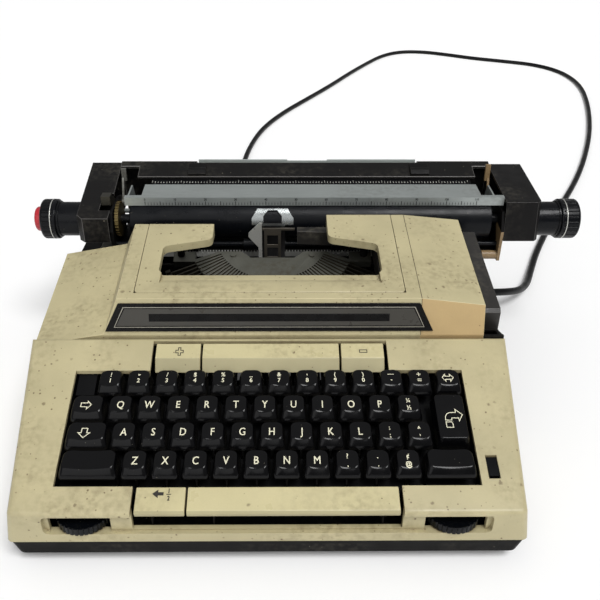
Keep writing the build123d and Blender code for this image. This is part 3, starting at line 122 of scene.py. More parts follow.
class TypewriterColours(bpy.types.PropertyGroup):
    shell: colour_setting("Shell", "Beige plastic of the shells", tone(186, 176, 138))
    # The front colour is painted shade and a painted warm reflection, for the cover's front-facing faces
    # right of its crease
    front: colour_setting("Front", "Yellowed beige at the cover's right front", tone(188, 162, 116))
    bar: colour_setting("Bars", "Beige plastic of the bar keys", tone(200, 190, 147))
    # This brown is also the beige finishes' painted shade in corners
    speck_and_shade: colour_setting("Specks", "Brown stains on the shells", tone(82, 58, 30))
    key: colour_setting("Keys", "Near-black plastic of the key caps", tone(5, 5, 7))
    legend: colour_setting("Legends", "Cream print on the keys", tone(232, 228, 200))
    icon: colour_setting("Icons", "Dark print on the bars", tone(36, 31, 24))
    carriage: colour_setting("Carriage", "Dark grey of the carriage covers", tone(19, 18, 18))
    plate: colour_setting("Nameplate", "Dark plate on the front facet", tone(62, 60, 55))
    platen: colour_setting("Platen", "Blue-black rubber of the platen", tone(11, 13, 17))
    knob: colour_setting("Knobs", "Blue-black plastic of the knobs", tone(6, 8, 12))
    button: colour_setting("Button", "Red plastic of the release button", tone(178, 34, 46))
    scale: colour_setting("Scale", "Grey aluminium of the paper bail", tone(166, 172, 170))
    base: colour_setting("Base", "Dark plastic under the shell", tone(16, 15, 15))
    tan: colour_setting("Tan", "Tan plated metal of the paper lever", tone(140, 116, 82))
    floor: colour_setting("Floor", "Pale studio floor", (0.93, 0.93, 0.93))


# Materials

def add_node(tree, kind, inputs=(), **settings):
    """A shader node with its inputs set to values or joined to sockets."""
    made = tree.nodes.new("ShaderNode" + kind)
    for name, value in settings.items():
        setattr(made, name, value)
    for name, value in dict(inputs).items():
        if isinstance(value, bpy.types.NodeSocket):
            tree.links.new(value, made.inputs[name])
        else:
            made.inputs[name].default_value = value
    return made


def on_piece(tree, stretch=(1, 1, 1)):
    """Coordinates that stay with the piece, stretched along its grain."""
    coordinates = add_node(tree, "TexCoord").outputs["Object"]
    return add_node(tree, "Mapping", {"Vector": coordinates, "Scale": stretch}).outputs["Vector"]


def cloud(tree, where, size, detail=3.0):
    """Soft noise whose blotches are about that many metres across."""
    return add_node(tree, "TexNoise", {"Vector": where, "Scale": 1 / size, "Detail": detail}).outputs["Fac"]


def between(tree, value, low, high, start=0.0, end=1.0):
    """The value's part from low to high, as start to end."""
    limits = {"From Min": low, "From Max": high, "To Min": start, "To Max": end}
    return add_node(tree, "MapRange", {"Value": value, **limits}).outputs["Result"]


def times(tree, first, second):
    """The product of two values."""
    return add_node(tree, "Math", {0: first, 1: second}, operation="MULTIPLY").outputs[0]


def either(tree, first, second):
    """The greater of two values."""
    return add_node(tree, "Math", {0: first, 1: second}, operation="MAXIMUM").outputs[0]


def blend_tones(tree, amount, first, second):
    """A mix of two colours."""
    made = tree.nodes.new("ShaderNodeMix")
    made.data_type = "RGBA"
    for place, value in ((0, amount), (6, first), (7, second)):
        if isinstance(value, bpy.types.NodeSocket):
            tree.links.new(value, made.inputs[place])
        else:
            made.inputs[place].default_value = value if place == 0 else (*value, 1)
    return made.outputs[2]


def spots(tree, where, spacing, radius, share):
    """Scattered round spots: in that share of the cells, 1 inside a spot."""
    shift = add_node(tree, "TexNoise", {"Vector": where, "Scale": 700.0}).outputs["Color"]
    shift = add_node(tree, "VectorMath", {0: shift, 1: (radius, radius, radius)}, operation="MULTIPLY")
    warped = add_node(tree, "VectorMath", {0: where, 1: shift.outputs[0]}, operation="ADD")
    cells = add_node(tree, "TexVoronoi", {"Vector": warped.outputs[0], "Scale": 1 / spacing})
    chance = add_node(tree, "SeparateColor", {"Color": cells.outputs["Color"]})
    rim = between(tree, chance.outputs["Green"], 0, 1, 0.35 * radius / spacing, 1.3 * radius / spacing)
    near = between(tree, cells.outputs["Distance"], rim, times(tree, rim, 0.45))
    return times(tree, near, between(tree, chance.outputs["Red"], 1 - share, 1.03 - share))


def new_material(name):
    """A new material with its node tree and its shader."""
    material = bpy.data.materials.new(name)
    material.use_nodes = True
    return material, material.node_tree, material.node_tree.nodes["Principled BSDF"]


# Dust; a brown for grime and for painted shade in corners; rust
dust, grime_and_shade, rust = tone(150, 144, 128), tone(70, 58, 36), tone(80, 62, 42)


def worn(name, colour, rough, stain_and_shade=grime_and_shade, metal=0.0, mottle=0.06, corner_dirt_and_shade=0.4, specks=None, smudges=0.0,
         grain=(1, 1, 1), bump=0.12, specular=0.5):
    """A used surface: changes of tone, the stain colour in the corners that ambient occlusion finds (painted
    shade where that colour is dark, dust where it is light), a fine grain, and specks (share, radius,
    spacing).
    """
    material, tree, shader = new_material(name)
    where, along = on_piece(tree), on_piece(tree, grain)
    slow = between(tree, cloud(tree, where, 0.035), 0.3, 0.7)
    fine = cloud(tree, along, 0.0009, 4.0)
    # Ambient occlusion finds corners, gaps and creases: the stain colour there is painted shade, or dust
    # where that colour is light
    corner = add_node(tree, "AmbientOcclusion", {"Distance": 0.005}, samples=4).outputs["AO"]
    stains_and_corner_shade = [(between(tree, corner, 0.75, 0.3), corner_dirt_and_shade)]
    if specks:
        share, radius, spacing = specks
        stains_and_corner_shade.append((spots(tree, where, spacing, radius, share), 0.85))
    if smudges:
        film = times(tree, between(tree, cloud(tree, where, 0.045, 2.0), 0.42, 0.66),
                     between(tree, cloud(tree, where, 0.004, 6.0), 0.42, 0.72))
        stains_and_corner_shade.append((film, smudges))
    if smudges and specks:
        stains_and_corner_shade.append((spots(tree, where, 3 * spacing, 2.2 * radius, 1.6 * share), 0.6))
    colours = blend_tones(tree, slow, shade(colour, 1 - mottle), shade(colour, 1 + mottle))
    wear = between(tree, fine, 0.35, 0.75, 0, 0.35 if metal else 0.1)
    colours = blend_tones(tree, wear, colours, shade(colour, 0.62))
    for cover, amount in stains_and_corner_shade:
        colours = blend_tones(tree, times(tree, cover, amount), colours, stain_and_shade)
    tree.links.new(colours, shader.inputs["Base Color"])
    rub = between(tree, cloud(tree, where, 0.012), 0.3, 0.7, rough - 0.07, rough + 0.09)
    tree.links.new(rub, shader.inputs["Roughness"])
    relief = add_node(tree, "Bump", {"Height": fine, "Strength": bump, "Distance": 0.0004})
    tree.links.new(relief.outputs["Normal"], shader.inputs["Normal"])
    shader.inputs["Metallic"].default_value = metal
    shader.inputs["Specular IOR Level"].default_value = specular
    return material


def make_materials(colours):
    """Every finish of the machine, by name."""
    return {
        "beige": worn("beige_shell", colours.shell, 0.42, colours.speck_and_shade, corner_dirt_and_shade=0.7,
            specks=(0.5, 0.00075, 0.0036), smudges=0.36, mottle=0.08, bump=0.16),
        # A painted highlight: a lighter beige for the shells' rounded edges
        "edge": worn("beige_edge", shade(colours.shell, 1.3), 0.38, colours.speck_and_shade, corner_dirt_and_shade=0.3,
            specks=(0.2, 0.0005, 0.004)),
        # Painted shade and a painted warm reflection: a darker, warmer beige for front-facing faces
        "front": worn("beige_front", colours.front, 0.42, colours.speck_and_shade, corner_dirt_and_shade=0.6,
            specks=(0.3, 0.0005, 0.004), smudges=0.25, mottle=0.07),
        "bar": worn("beige_bar", colours.bar, 0.34, colours.speck_and_shade, corner_dirt_and_shade=0.5, specks=(0.4, 0.0006, 0.004),
            smudges=0.3, mottle=0.05, bump=0.08),
        # Painted shade: a darker copy of the bar finish for the bars' front faces
        "bar_front": worn("bar_front", shade(colours.bar, 0.72), 0.4, colours.speck_and_shade, corner_dirt_and_shade=0.5,
            specks=(0.3, 0.0005, 0.004)),
        "key": worn("key_black", colours.key, 0.16, dust, corner_dirt_and_shade=0.03, specks=(0.3, 0.0002, 0.003), bump=0.03,
            mottle=0.2, specular=0.22),
        "legend": worn("legend_cream", colours.legend, 0.5, corner_dirt_and_shade=0.1),
        "icon": worn("icon_dark", colours.icon, 0.6, corner_dirt_and_shade=0.1),
        "well": worn("well_black", shade(colours.key, 1.2), 0.4, tone(8, 8, 8), corner_dirt_and_shade=0.6, specular=0.15),
        "carriage": worn("carriage_black", colours.carriage, 0.42, dust, corner_dirt_and_shade=0.06,
            specks=(0.3, 0.0003, 0.0035), smudges=0.1, bump=0.25, specular=0.14),
        "rubbed": worn("rubbed_edge", tone(88, 86, 84), 0.36, tone(30, 28, 26), corner_dirt_and_shade=0.2),
        "plate": worn("nameplate_grey", colours.plate, 0.32, corner_dirt_and_shade=0.3, grain=(0.05, 1, 1), smudges=0.15,
            specks=(0.1, 0.0006, 0.008)),
        "strip": worn("nameplate_black", tone(13, 12, 12), 0.25, dust, corner_dirt_and_shade=0.06, mottle=0.15,
            specks=(0.15, 0.0003, 0.008), specular=0.2),
        "line": worn("nameplate_line", tone(164, 160, 148), 0.35, corner_dirt_and_shade=0.2, metal=0.3),
        "platen": worn("platen_rubber", colours.platen, 0.3, dust, corner_dirt_and_shade=0.03, specks=(0.3, 0.00025, 0.0035),
            mottle=0.15, grain=(0.15, 1, 1), specular=0.16),
        "knob": worn("knob_black", colours.knob, 0.26, dust, corner_dirt_and_shade=0.04, mottle=0.15, specular=0.18),
        "button": worn("button_red", colours.button, 0.28, tone(60, 14, 16), corner_dirt_and_shade=0.3),
        "scale": worn("aluminium_scale", colours.scale, 0.36, metal=0.55, corner_dirt_and_shade=0.3, grain=(0.05, 1, 1),
            specks=(0.1, 0.0003, 0.008), smudges=0.25),
        "mark": worn("scale_mark", tone(30, 32, 34), 0.6, corner_dirt_and_shade=0.1),
        "white": worn("white_mark", tone(210, 210, 200), 0.55, corner_dirt_and_shade=0.1),
        "steel": worn("steel_plate", tone(128, 126, 118), 0.36, metal=0.85, corner_dirt_and_shade=0.7,
            specks=(0.3, 0.0004, 0.008), smudges=0.5),
        "brown_steel": worn("brown_steel", tone(112, 106, 96), 0.36, metal=0.8, corner_dirt_and_shade=0.6,
            specks=(0.2, 0.0006, 0.008)),
        "silver": worn("pointer_silver", tone(214, 214, 208), 0.3, metal=0.6, corner_dirt_and_shade=0.3, bump=0.4),
        "chrome": worn("chrome", tone(164, 168, 168), 0.24, metal=0.9, bump=0.05, smudges=0.2),
        "support": worn("support_grey", tone(176, 184, 180), 0.4, metal=0.15, corner_dirt_and_shade=0.3, grain=(0.1, 1, 1),
            specks=(0.2, 0.0003, 0.004), smudges=0.2),
        # Painted shade for the crease along the cover's bend
        "crease_shade": worn("shell_crease", tone(70, 58, 38), 0.6, corner_dirt_and_shade=0.3),
        "segment": worn("segment_steel", tone(96, 96, 88), 0.4, metal=0.7, corner_dirt_and_shade=0.8,
            specks=(0.3, 0.0004, 0.008), smudges=0.5),
        "type_bar": worn("type_bar_steel", tone(70, 68, 60), 0.36, metal=0.8, corner_dirt_and_shade=0.7, smudges=0.4),
        "brass": worn("ratchet_brass", tone(112, 98, 62), 0.34, rust, metal=0.85, corner_dirt_and_shade=0.5, smudges=0.4),
        "base": worn("base_dark", colours.base, 0.5, dust, corner_dirt_and_shade=0.08, bump=0.25,
            specks=(0.25, 0.0003, 0.004), smudges=0.08, specular=0.12),
        # Near-black for dark inner parts, and painted shade on parts put in shadow: the pan's top band, the
        # bar stems, the key levers and the card holder's foot
        "inside": worn("inside_dark", tone(13, 12, 12), 0.5, tone(8, 8, 7), corner_dirt_and_shade=0.5, specular=0.15),
        "rubber": worn("foot_rubber", tone(22, 21, 20), 0.75, dust, corner_dirt_and_shade=0.1, bump=0.3),
        "lead": worn("lead_rubber", tone(12, 12, 13), 0.42, dust, corner_dirt_and_shade=0.05, bump=0.1, specular=0.2),
        "prong": worn("plug_brass", tone(206, 186, 130), 0.25, rust, metal=1.0, corner_dirt_and_shade=0.3),
        "grey": worn("lever_grey", tone(128, 128, 122), 0.4, metal=0.6, smudges=0.4),
        "tan": worn("lever_tan", colours.tan, 0.45, rust, specks=(0.1, 0.0006, 0.008),
            smudges=0.3),
        "motor": worn("motor_grey", tone(92, 92, 90), 0.45, metal=0.7, corner_dirt_and_shade=0.5),
        "case": worn("ribbon_case", tone(40, 38, 36), 0.35, dust, corner_dirt_and_shade=0.06, specks=(0.3, 0.0003, 0.008),
            smudges=0.3, specular=0.4),
    }


finishes = {}


# Making pieces

def link(name, mesh):
    """A new object at the origin, in the scene."""
    piece = bpy.data.objects.new(name, mesh)
    bpy.context.scene.collection.objects.link(piece)
    return piece


@contextmanager
def worked(mesh):
    """A mesh's faces to work on, written back at the end."""
    work = bmesh.new()
    work.from_mesh(mesh)
    yield work
    work.to_mesh(mesh)
    work.free()


def skin(work, rings, smooth=False, closed=False):
    """Rings of points as vertices, with four-sided faces from each ring to the next."""
    rows = [[work.verts.new(point) for point in ring] for ring in rings]
    for lower, upper in zip(rows, rows[1:] + (rows[:1] if closed else [])):
        for index in range(len(lower)):
            after = (index + 1) % len(lower)
            work.faces.new((lower[index], lower[after], upper[after], upper[index])).smooth = smooth
    return rows


def prism(name, foot, top):
    """A solid between two outlines."""
    mesh = bpy.data.meshes.new(name)
    with worked(mesh) as work:
        low, high = skin(work, (foot, top))
        work.faces.new(high)
        work.faces.new(low[::-1])
        bmesh.ops.recalc_face_normals(work, faces=work.faces)
    return mesh


def merged_copy(node):
    """A CAD node's mesh as one closed surface, with its flat faces whole."""
    mesh = frame["nodes"][node].data.copy()
    with worked(mesh) as work:
        bmesh.ops.remove_doubles(work, verts=work.verts, dist=0.000004)
        bmesh.ops.dissolve_limit(work, angle_limit=radians(0.6), verts=work.verts, edges=work.edges)
    mesh.materials.clear()
    return mesh


def round_edges(piece, width, segments=2, edge_wear_and_highlight=False):
    """Rounded edges, as moulded or folded parts have."""
    bevel = piece.modifiers.new("Rounded edges", "BEVEL")
    bevel.width = width
    bevel.segments = segments
    bevel.limit_method = "ANGLE"
    bevel.angle_limit = radians(28)
    bevel.harden_normals = True
    bevel.use_clamp_overlap = True
    # The edges' own finish: wear on the dark covers and the cartridge, a painted highlight on the beige
    # shells
    if edge_wear_and_highlight:
        bevel.material = 1


def dress(node, finish, edge=0.0, edge_finish=None):
    """A finished copy of a CAD node that stands for it. Its second finish goes on rounded edges."""
    mesh = merged_copy(node)
    piece = link("shown_" + node, mesh)
    mesh.materials.append(finishes[finish])
    mesh.materials.append(finishes[edge_finish or finish])
    for face in mesh.polygons:
        face.use_smooth = True
    if edge:
        round_edges(piece, edge, edge_wear_and_highlight=bool(edge_finish))
    mesh.set_sharp_from_angle(angle=radians(32))
    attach(piece, frame["nodes"][node]["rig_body"])
    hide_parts(node)
    return piece


def dress_all(*rows):
    """Finished copies of several nodes, each as dress takes it."""
    for row in rows:
        dress(*row)


def paint(piece, finish, chosen, cuts=()):
    """Another finish on the faces whose middles are chosen, after cuts, each (place, normal)."""
    piece.data.materials.append(finishes[finish])
    number = len(piece.data.materials) - 1
    with worked(piece.data) as work:
        for place, normal in cuts:
            bmesh.ops.bisect_plane(work, geom=[*work.verts, *work.edges, *work.faces], dist=1e-6,
                                   plane_co=place, plane_no=normal)
        for face in work.faces:
            if chosen(*in_machine(face.calc_center_median()), face.normal):
                face.material_index = number


def reshape(piece, moved):
    """Vertices moved in the machine's millimetres, each by what the function gives for its place."""
    for vertex in piece.data.vertices:
        vertex.co += Vector(moved(*in_machine(vertex.co))) * MM
    piece.data.update()


def keep_piece(mesh, finish, node):
    """A new piece with its mesh's name, on a CAD node's body."""
    piece = link(mesh.name, mesh)
    if not mesh.materials:
        mesh.materials.append(finishes[finish])
    body, slot_name = frame["nodes"][node]["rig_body"], slots[node]
    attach(piece, body)
    return piece


def mesh_of(name, points, faces):
    """A new mesh from its corner points and faces."""
    mesh = bpy.data.meshes.new(name)
    mesh.from_pydata([tuple(point) for point in points], [], faces)
    mesh.update()
    return mesh


def surface_of(node):
    """The faces of the piece shown for a node, for laying print on them."""
    work = bmesh.new()
    work.from_mesh(bpy.data.objects["shown_" + node].data)
    tree = BVHTree.FromBMesh(work)
    work.free()
    return tree


def laid_on(surface, points, lift):
    """Points dropped on a surface from above, a little off it."""
    placed = []
    for point in points:
        hit = surface.ray_cast(Vector((point[0], point[1], 0.5)), Vector((0, 0, -1)))[0]
        if hit is None:
            raise RuntimeError(f"nothing is under the print at {tuple(point)}")
        placed.append(hit + Vector((0, 0, lift + point[2])))
    return placed


def joined(shapes):
    """The points and faces of several shapes as those of one."""
    points, faces = [], []
    for corners, sides in shapes:
        start = len(points)
        points += corners
        faces += [tuple(start + number for number in side) for side in sides]
    return points, faces


def letters(text, height, width, weight):
    """Flat lettering about the origin: corner points and faces. Four copies, a hair apart, make it bold."""
    curve = bpy.data.curves.new("letters", "FONT")
    curve.body = text
    curve.align_x = "CENTER"
    curve.align_y = "CENTER"
    curve.resolution_u = 3
    holder = link("letters", curve)
    flat = bpy.data.meshes.new_from_object(holder.evaluated_get(bpy.context.evaluated_depsgraph_get()))
    points = [(v.co.x, v.co.y) for v in flat.vertices]
    faces = [tuple(f.vertices) for f in flat.polygons]
    bpy.data.objects.remove(holder)
    bpy.data.curves.remove(curve)
    bpy.data.meshes.remove(flat)
    across, along = zip(*points)
    capital = 0.72
    grow = height / capital
    middle = ((min(across) + max(across)) / 2,
              (min(along) + max(along)) / 2 if text in "-—=+^'\"" else 0)
    points = [((x - middle[0]) * grow * width, (y - middle[1]) * grow) for x, y in points]
    shifts = ((1, 1), (-1, 1), (-1, -1), (1, -1))
    return joined([([(x + over * weight, y + up * weight, copy * 0.012) for x, y in points], faces)
                   for copy, (over, up) in enumerate(shifts)])


def outline(corners, stroke, size=1):
    """A closed line of even width through the corners of a shape at that size, as flat faces."""
    count = len(corners)
    points, faces = [], []
    for index in range(count):
        before, here, after = (Vector(corners[(index + k) % count]) * size for k in (-1, 0, 1))
        first = (here - before).normalized()
        second = (after - here).normalized()
        across = Vector((-first.y, first.x)) + Vector((-second.y, second.x))
        across = across.normalized() * (stroke / 2 / max(0.35, across.length / 2))
        points += [(*(here + across), 0), (*(here - across), 0)]
    for index in range(count):
        a, b = 2 * index, 2 * ((index + 1) % count)
        faces.append((a, a + 1, b + 1, b))
    return points, faces


def printed(name, node, marks, finish):
    """Marks, each (points, faces, x, y) in millimetres, laid on a node's top and kept as one piece."""
    surface = surface_of(node)
    lift = bpy.context.scene.typewriter_sizes.legend_lift
    mesh = mesh_of(name, *joined([
        (laid_on(surface, [at(x + across, y + up, off) for across, up, off in points], lift), sides)
        for points, sides, x, y in marks]))
    with worked(mesh) as work:
        for face in work.faces:
            face.normal_update()
            if face.normal.z < 0:
                face.normal_flip()
    return keep_piece(mesh, finish, node)


def repeat_tree():
    """A row of copies of one small shape, made of geometry nodes."""
    tree = bpy.data.node_groups.new("Row of small parts", "GeometryNodeTree")
    for name, kind in (("Shape", "Object"), ("Count", "Int"), ("Start", "Vector"), ("Step", "Vector"),
                       ("Finish", "Material"), ("Geometry", "Geometry")):
        way = "OUTPUT" if name == "Geometry" else "INPUT"
        tree.interface.new_socket(name=name, in_out=way, socket_type="NodeSocket" + kind)
    given, row, shape, copies, real, coat, result = (tree.nodes.new(kind) for kind in (
        "NodeGroupInput", "GeometryNodeMeshLine", "GeometryNodeObjectInfo", "GeometryNodeInstanceOnPoints",
        "GeometryNodeRealizeInstances", "GeometryNodeSetMaterial", "NodeGroupOutput"))
    for start, output, end, entry in (
            (given, "Shape", shape, "Object"), (given, "Count", row, "Count"),
            (given, "Start", row, "Start Location"), (given, "Step", row, "Offset"),
            (row, "Mesh", copies, "Points"), (shape, "Geometry", copies, "Instance"),
            (copies, "Instances", real, "Geometry"), (real, "Geometry", coat, "Geometry"),
            (given, "Finish", coat, "Material"), (coat, "Geometry", result, "Geometry")):
        tree.links.new(start.outputs[output], end.inputs[entry])
    return tree


def row_of(name, shape, start, step, count, finish, node):
    """That many copies of a shape along x, as one plain mesh on a CAD node's body."""
    tree = bpy.data.node_groups.get("Row of small parts") or repeat_tree()
    pattern = link("pattern", shape)
    maker = link("maker", bpy.data.meshes.new("maker"))
    change = maker.modifiers.new("Row", "NODES")
    change.node_group = tree
    values = {"Shape": pattern, "Count": count, "Start": start, "Step": (step, 0, 0),
              "Finish": finishes[finish]}
    for item in tree.interface.items_tree:
        if item.in_out == "INPUT":
            change[item.identifier] = values[item.name]
    graph = bpy.context.evaluated_depsgraph_get()
    mesh = bpy.data.meshes.new_from_object(maker.evaluated_get(graph))
    bpy.data.objects.remove(maker)
    bpy.data.objects.remove(pattern)
    mesh.name = name
    return keep_piece(mesh, finish, node)


def block(name, low, high, turn=None):
    """A small box between two corners, in millimetres about the origin, turned if asked."""
    size = Vector(high) - Vector(low)
    middle = (Vector(high) + Vector(low)) / 2
    mesh = bpy.data.meshes.new(name)
    with worked(mesh) as work:
        bmesh.ops.create_cube(work, size=1)
        for vertex in work.verts:
            vertex.co = Vector(vertex.co[k] * size[k] + middle[k] for k in range(3)) * MM
        if turn is not None:
            bmesh.ops.transform(work, matrix=turn, verts=work.verts)
    return mesh


# The stage

# The photo's side, focal length and optical centre in its pixels, and where it was taken from
photo_side, photo_focal, photo_middle = 600, 722.97, (285.397, 299.574)
photo_place, photo_turn = (7.2, -304.2, 383.2), (0.55, 31.55, -0.2)
# Each lamp's name, strength, spread, tilt and turn
lamp_settings = [("high_lamp", 2.1, 26, 30, 34), ("front_lamp", 0.55, 50, 62, -24)]


class TYPEWRITER_OT_stage(bpy.types.Operator):
    """Camera, pale floor and soft light"""
    bl_idname = "typewriter.stage"
    bl_label = "Stage"

    def execute(self, context):
        camera = link("photo_camera", bpy.data.cameras.new("photo_camera"))
        context.scene.camera = camera
        yaw, pitch, roll = (radians(angle) for angle in photo_turn)
        ahead = Vector((sin(yaw) * cos(pitch), cos(yaw) * cos(pitch), -sin(pitch)))
        side = Vector((cos(yaw), -sin(yaw), 0))
        down = ahead.cross(side)
        right = cos(roll) * side + sin(roll) * down
        below = -sin(roll) * side + cos(roll) * down
        turn = Matrix((right, -below, -ahead)).transposed()
        camera.matrix_world = Matrix.Translation(at(*photo_place)) @ turn.to_4x4()
        camera.data.lens = photo_focal / photo_side * camera.data.sensor_width
        camera.data.shift_x = (photo_side / 2 - photo_middle[0]) / photo_side
        camera.data.shift_y = (photo_middle[1] - photo_side / 2) / photo_side
        camera.data.clip_start = 0.01
        self.floor(context)
        self.lamps(context)
        return {"FINISHED"}

    def floor(self, context):
        """A pale floor that glows a little for the eye, not as a lamp."""
        reach = 12
        corners = [(x * reach, y * reach, 0) for x, y in ((-1, -1), (1, -1), (1, 1), (-1, 1))]
        mesh = mesh_of("floor", corners, [(0, 1, 2, 3)])
        piece = link("floor", mesh)
        material, tree, shader = new_material("floor")
        values = {"Base Color": (*context.scene.typewriter_colours.floor, 1), "Roughness": 0.9,
                  "Specular IOR Level": 0.1, "Emission Color": (1, 1, 1, 1)}
        for name, value in values.items():
            shader.inputs[name].default_value = value
        seen = add_node(tree, "LightPath").outputs
        rays = either(tree, seen["Is Camera Ray"], seen["Is Glossy Ray"])
        rays = either(tree, rays, seen["Is Transmission Ray"])
        tree.links.new(times(tree, rays, 0.06), shader.inputs["Emission Strength"])
        mesh.materials.append(material)

    def lamps(self, context):
        """Two wide soft lamps and a sky that is brighter above."""
        for name, strength, spread, tilt, turn in lamp_settings:
            lamp = bpy.data.lights.new(name, "SUN")
            lamp.energy = strength
            lamp.angle = radians(spread)
            holder = link(name, lamp)
            holder.rotation_euler = (radians(tilt), 0, radians(turn))
        world = bpy.data.worlds.new("studio")
        context.scene.world = world
        world.use_nodes = True
        tree = world.node_tree
        lit = tree.nodes["Background"]
        lit.inputs["Color"].default_value = (1, 1, 1, 1)
        seen = add_node(tree, "LightPath").outputs
        shown = either(tree, seen["Is Camera Ray"], seen["Is Transmission Ray"])
        up = add_node(tree, "SeparateXYZ", {"Vector": add_node(tree, "TexCoord").outputs["Generated"]})
        sky = between(tree, up.outputs["Z"], -0.2, 1.0, 0.1, 0.48)
        tree.links.new(between(tree, shown, 0, 1, sky, 1.0), lit.inputs["Strength"])


# The mains lead

lead_route = [
    (188, 286, 28.5), (207, 286, 28.5), (229, 296, 23), (248, 314, 14.5), (263, 339, 7.5), (277, 372, 3.5),
    (298, 419, 3.5), (333, 484, 3.5), (370, 548, 3.5), (404, 606, 3.5), (437, 668, 3.5), (472, 742, 3.5),
    (507, 824, 3.5), (540, 914, 3.5), (568, 1003, 3.5), (589, 1086, 3.5), (596, 1160, 3.5), (586, 1225, 3.5),
    (552, 1275, 3.5), (496, 1303, 3.5), (435, 1330, 3.5), (386, 1363, 3.5), (335, 1391, 3.5),
    (282, 1392, 3.5), (236, 1353, 3.5), (196, 1285, 3.5), (151, 1200, 3.5), (106, 1106, 3.5),
    (59, 1018, 3.5), (14, 934, 3.5), (-20, 850, 3.5), (-38, 762, 3.5), (-46, 674, 3.5), (-50, 600, 3.5),
    (-51, 545, 6.5), (-51, 505, 7.5), (-51, 470, 7.5),
]


class TYPEWRITER_OT_mains_lead(bpy.types.Operator):
    """Mains lead with its strain relief and plug"""
    bl_idname = "typewriter.mains_lead"
    bl_label = "Mains lead"

    def execute(self, context):
        sizes = context.scene.typewriter_sizes
        dress("strain_relief", "rubber")
        plug = dress("cord_plug", "lead")
        plug.data.materials[1] = finishes["prong"]
        prong_line = 434.5
        for face in plug.data.polygons:
            if in_machine(face.center).y < prong_line:
                face.material_index = 1
        line = bpy.data.curves.new("mains_lead", "CURVE")
        line.dimensions = "3D"
        spline = line.splines.new("NURBS")
        spline.points.add(len(lead_route) - 1)
        for point, place in zip(spline.points, lead_route):
            point.co = (*at(*place), 1)
        spline.order_u = 3
        spline.use_endpoint_u = True
        spline.resolution_u = 10
        line.bevel_depth = sizes.lead_diameter / 2
        line.bevel_resolution = 4
        line.use_fill_caps = True
        line.materials.append(finishes["lead"])
        piece = link("mains_lead", line)
        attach(piece, "chassis")
        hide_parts("power_cord")
        return {"FINISHED"}


# The housing

cover_lip_y, cover_lip_z, cover_slope = 131.6, 116.5, 0.171
# Where the cover bends on the right, and the width of the painted shade line along the bend
crease_x, crease_width = 108, 0.5
# Heights on the pan: where its painted shadow band begins, and its edge
pan_shadow_from, pan_edge = 16.8, 20.5
sill_height, sill_drop = 32.5, 4
rim_depth, rim_lift, rim_back = 6.5, 4, 214
flare_reach, flare_drop, flare_side, flare_back = 5, 28, 150, 125
shell_flare_top, pan_flare_top = 50, 46


def part_of(value):
    """The value, kept from 0 to 1."""
    return max(0, min(1, value))


class TYPEWRITER_OT_housing(bpy.types.Operator):
    """Beige shells, lid, dark base and feet"""
    bl_idname = "typewriter.housing"
    bl_label = "Housing"

    def execute(self, context):
        edge = context.scene.typewriter_sizes.shell_edge
        # The shells' rounded edges take the edge finish, a painted highlight
        shell = dress("keyboard_shell", "beige", edge, "edge")
        reshape(shell, lambda x, y, z: (self.flare(x, y, z, shell_flare_top), 0, self.sill(x, y, z)))
        cover = dress("top_cover", "beige", edge, "edge")
        # Painted shade and a painted warm reflection: the cover's front-facing faces right of the crease take
        # the darker, warmer front finish
        paint(cover, "front", lambda x, y, z, normal: x > crease_x and normal.y < -0.55,
              [(at(x, 0, 0), Vector((1, 0, 0))) for x in (crease_x, crease_x + crease_width)])
        # A thin dark brown line along the cover's bend, painted shade in the crease
        paint(cover, "crease_shade",
              lambda x, y, z, normal: crease_x < x < crease_x + crease_width and normal.z > 0.3)
        lid = dress("ribbon_lid", "beige", edge, "edge")
        reshape(lid, lambda x, y, z: (0, 0, self.rim(y, z)))
        self.opening_lip()
        dress_all(("right_side_panel", "base", edge), ("rear_cover", "base", edge))
        pan = dress("base_pan", "base", 0.0008)
        # The pan's top band is painted near-black, a painted shadow in the gap under the shell
        paint(pan, "inside", lambda x, y, z, normal: z > pan_shadow_from,
              [(at(0, 0, z), Vector((0, 0, 1))) for z in (pan_shadow_from, pan_edge)])
        reshape(pan, lambda x, y, z: (self.pan_flare(x, y, z), 0, 0))
        dress("feet", "rubber", 0.0008)
        return {"FINISHED"}

    def opening_lip(self):
        """The band of the lid in front of its opening, with rounded inner corners."""
        left, right, front, back, corner, beyond = -82.4, 83.7, 156.8, 164.2, 5, 0.8
        height, depth, fall = 117.35, 5.5, 0.05
        arc = [(corner - corner * cos(radians(turn)), back + corner - corner * sin(radians(turn)))
               for turn in range(0, 91, 15)]
        corners = [(left - beyond, back + corner), *((left + x, y) for x, y in arc),
                   *((right - x, y) for x, y in arc[::-1]), (right + beyond, back + corner),
                   (right + beyond, front), (left - beyond, front)]
        foot, top = ([at(x, y, height - fall * (y - front) + up) for x, y in corners] for up in (-depth, 0))
        lip = prism("lid_opening_lip", foot, top)
        round_edges(keep_piece(lip, "beige", "ribbon_lid"), 0.0012, 3)

    def flare(self, x, y, z, high):
        """How far the front corners stand out at that height."""
        if abs(x) < flare_side:
            return 0
        reach = flare_reach * part_of((high - z) / flare_drop) * part_of(1 - y / flare_back)
        return reach if x > 0 else -reach

    def pan_flare(self, x, y, z):
        """How far the pan's front corners stand out; below its edge they draw in again."""
        return 1.5 * self.flare(x, y, z if z > pan_edge else 55 - 1.6 * z, pan_flare_top)

    def sill(self, x, y, z):
        """How far down the lower edge of the slot goes that the front bars stand in."""
        return -sill_drop if abs(x) < 84.5 and y < 15 and abs(z - sill_height) < 0.4 else 0

    def rim(self, y, z):
        """How far up the lower edge of the lid's turned-down rim goes."""
        cover_height = cover_lip_z + (y - cover_lip_y) * cover_slope
        return rim_lift if y < rim_back and z < cover_height - rim_depth else 0


facet_slope = (8.5, 25.4)
plate_foot, plate_height, plate_widening = 95, 17, 4


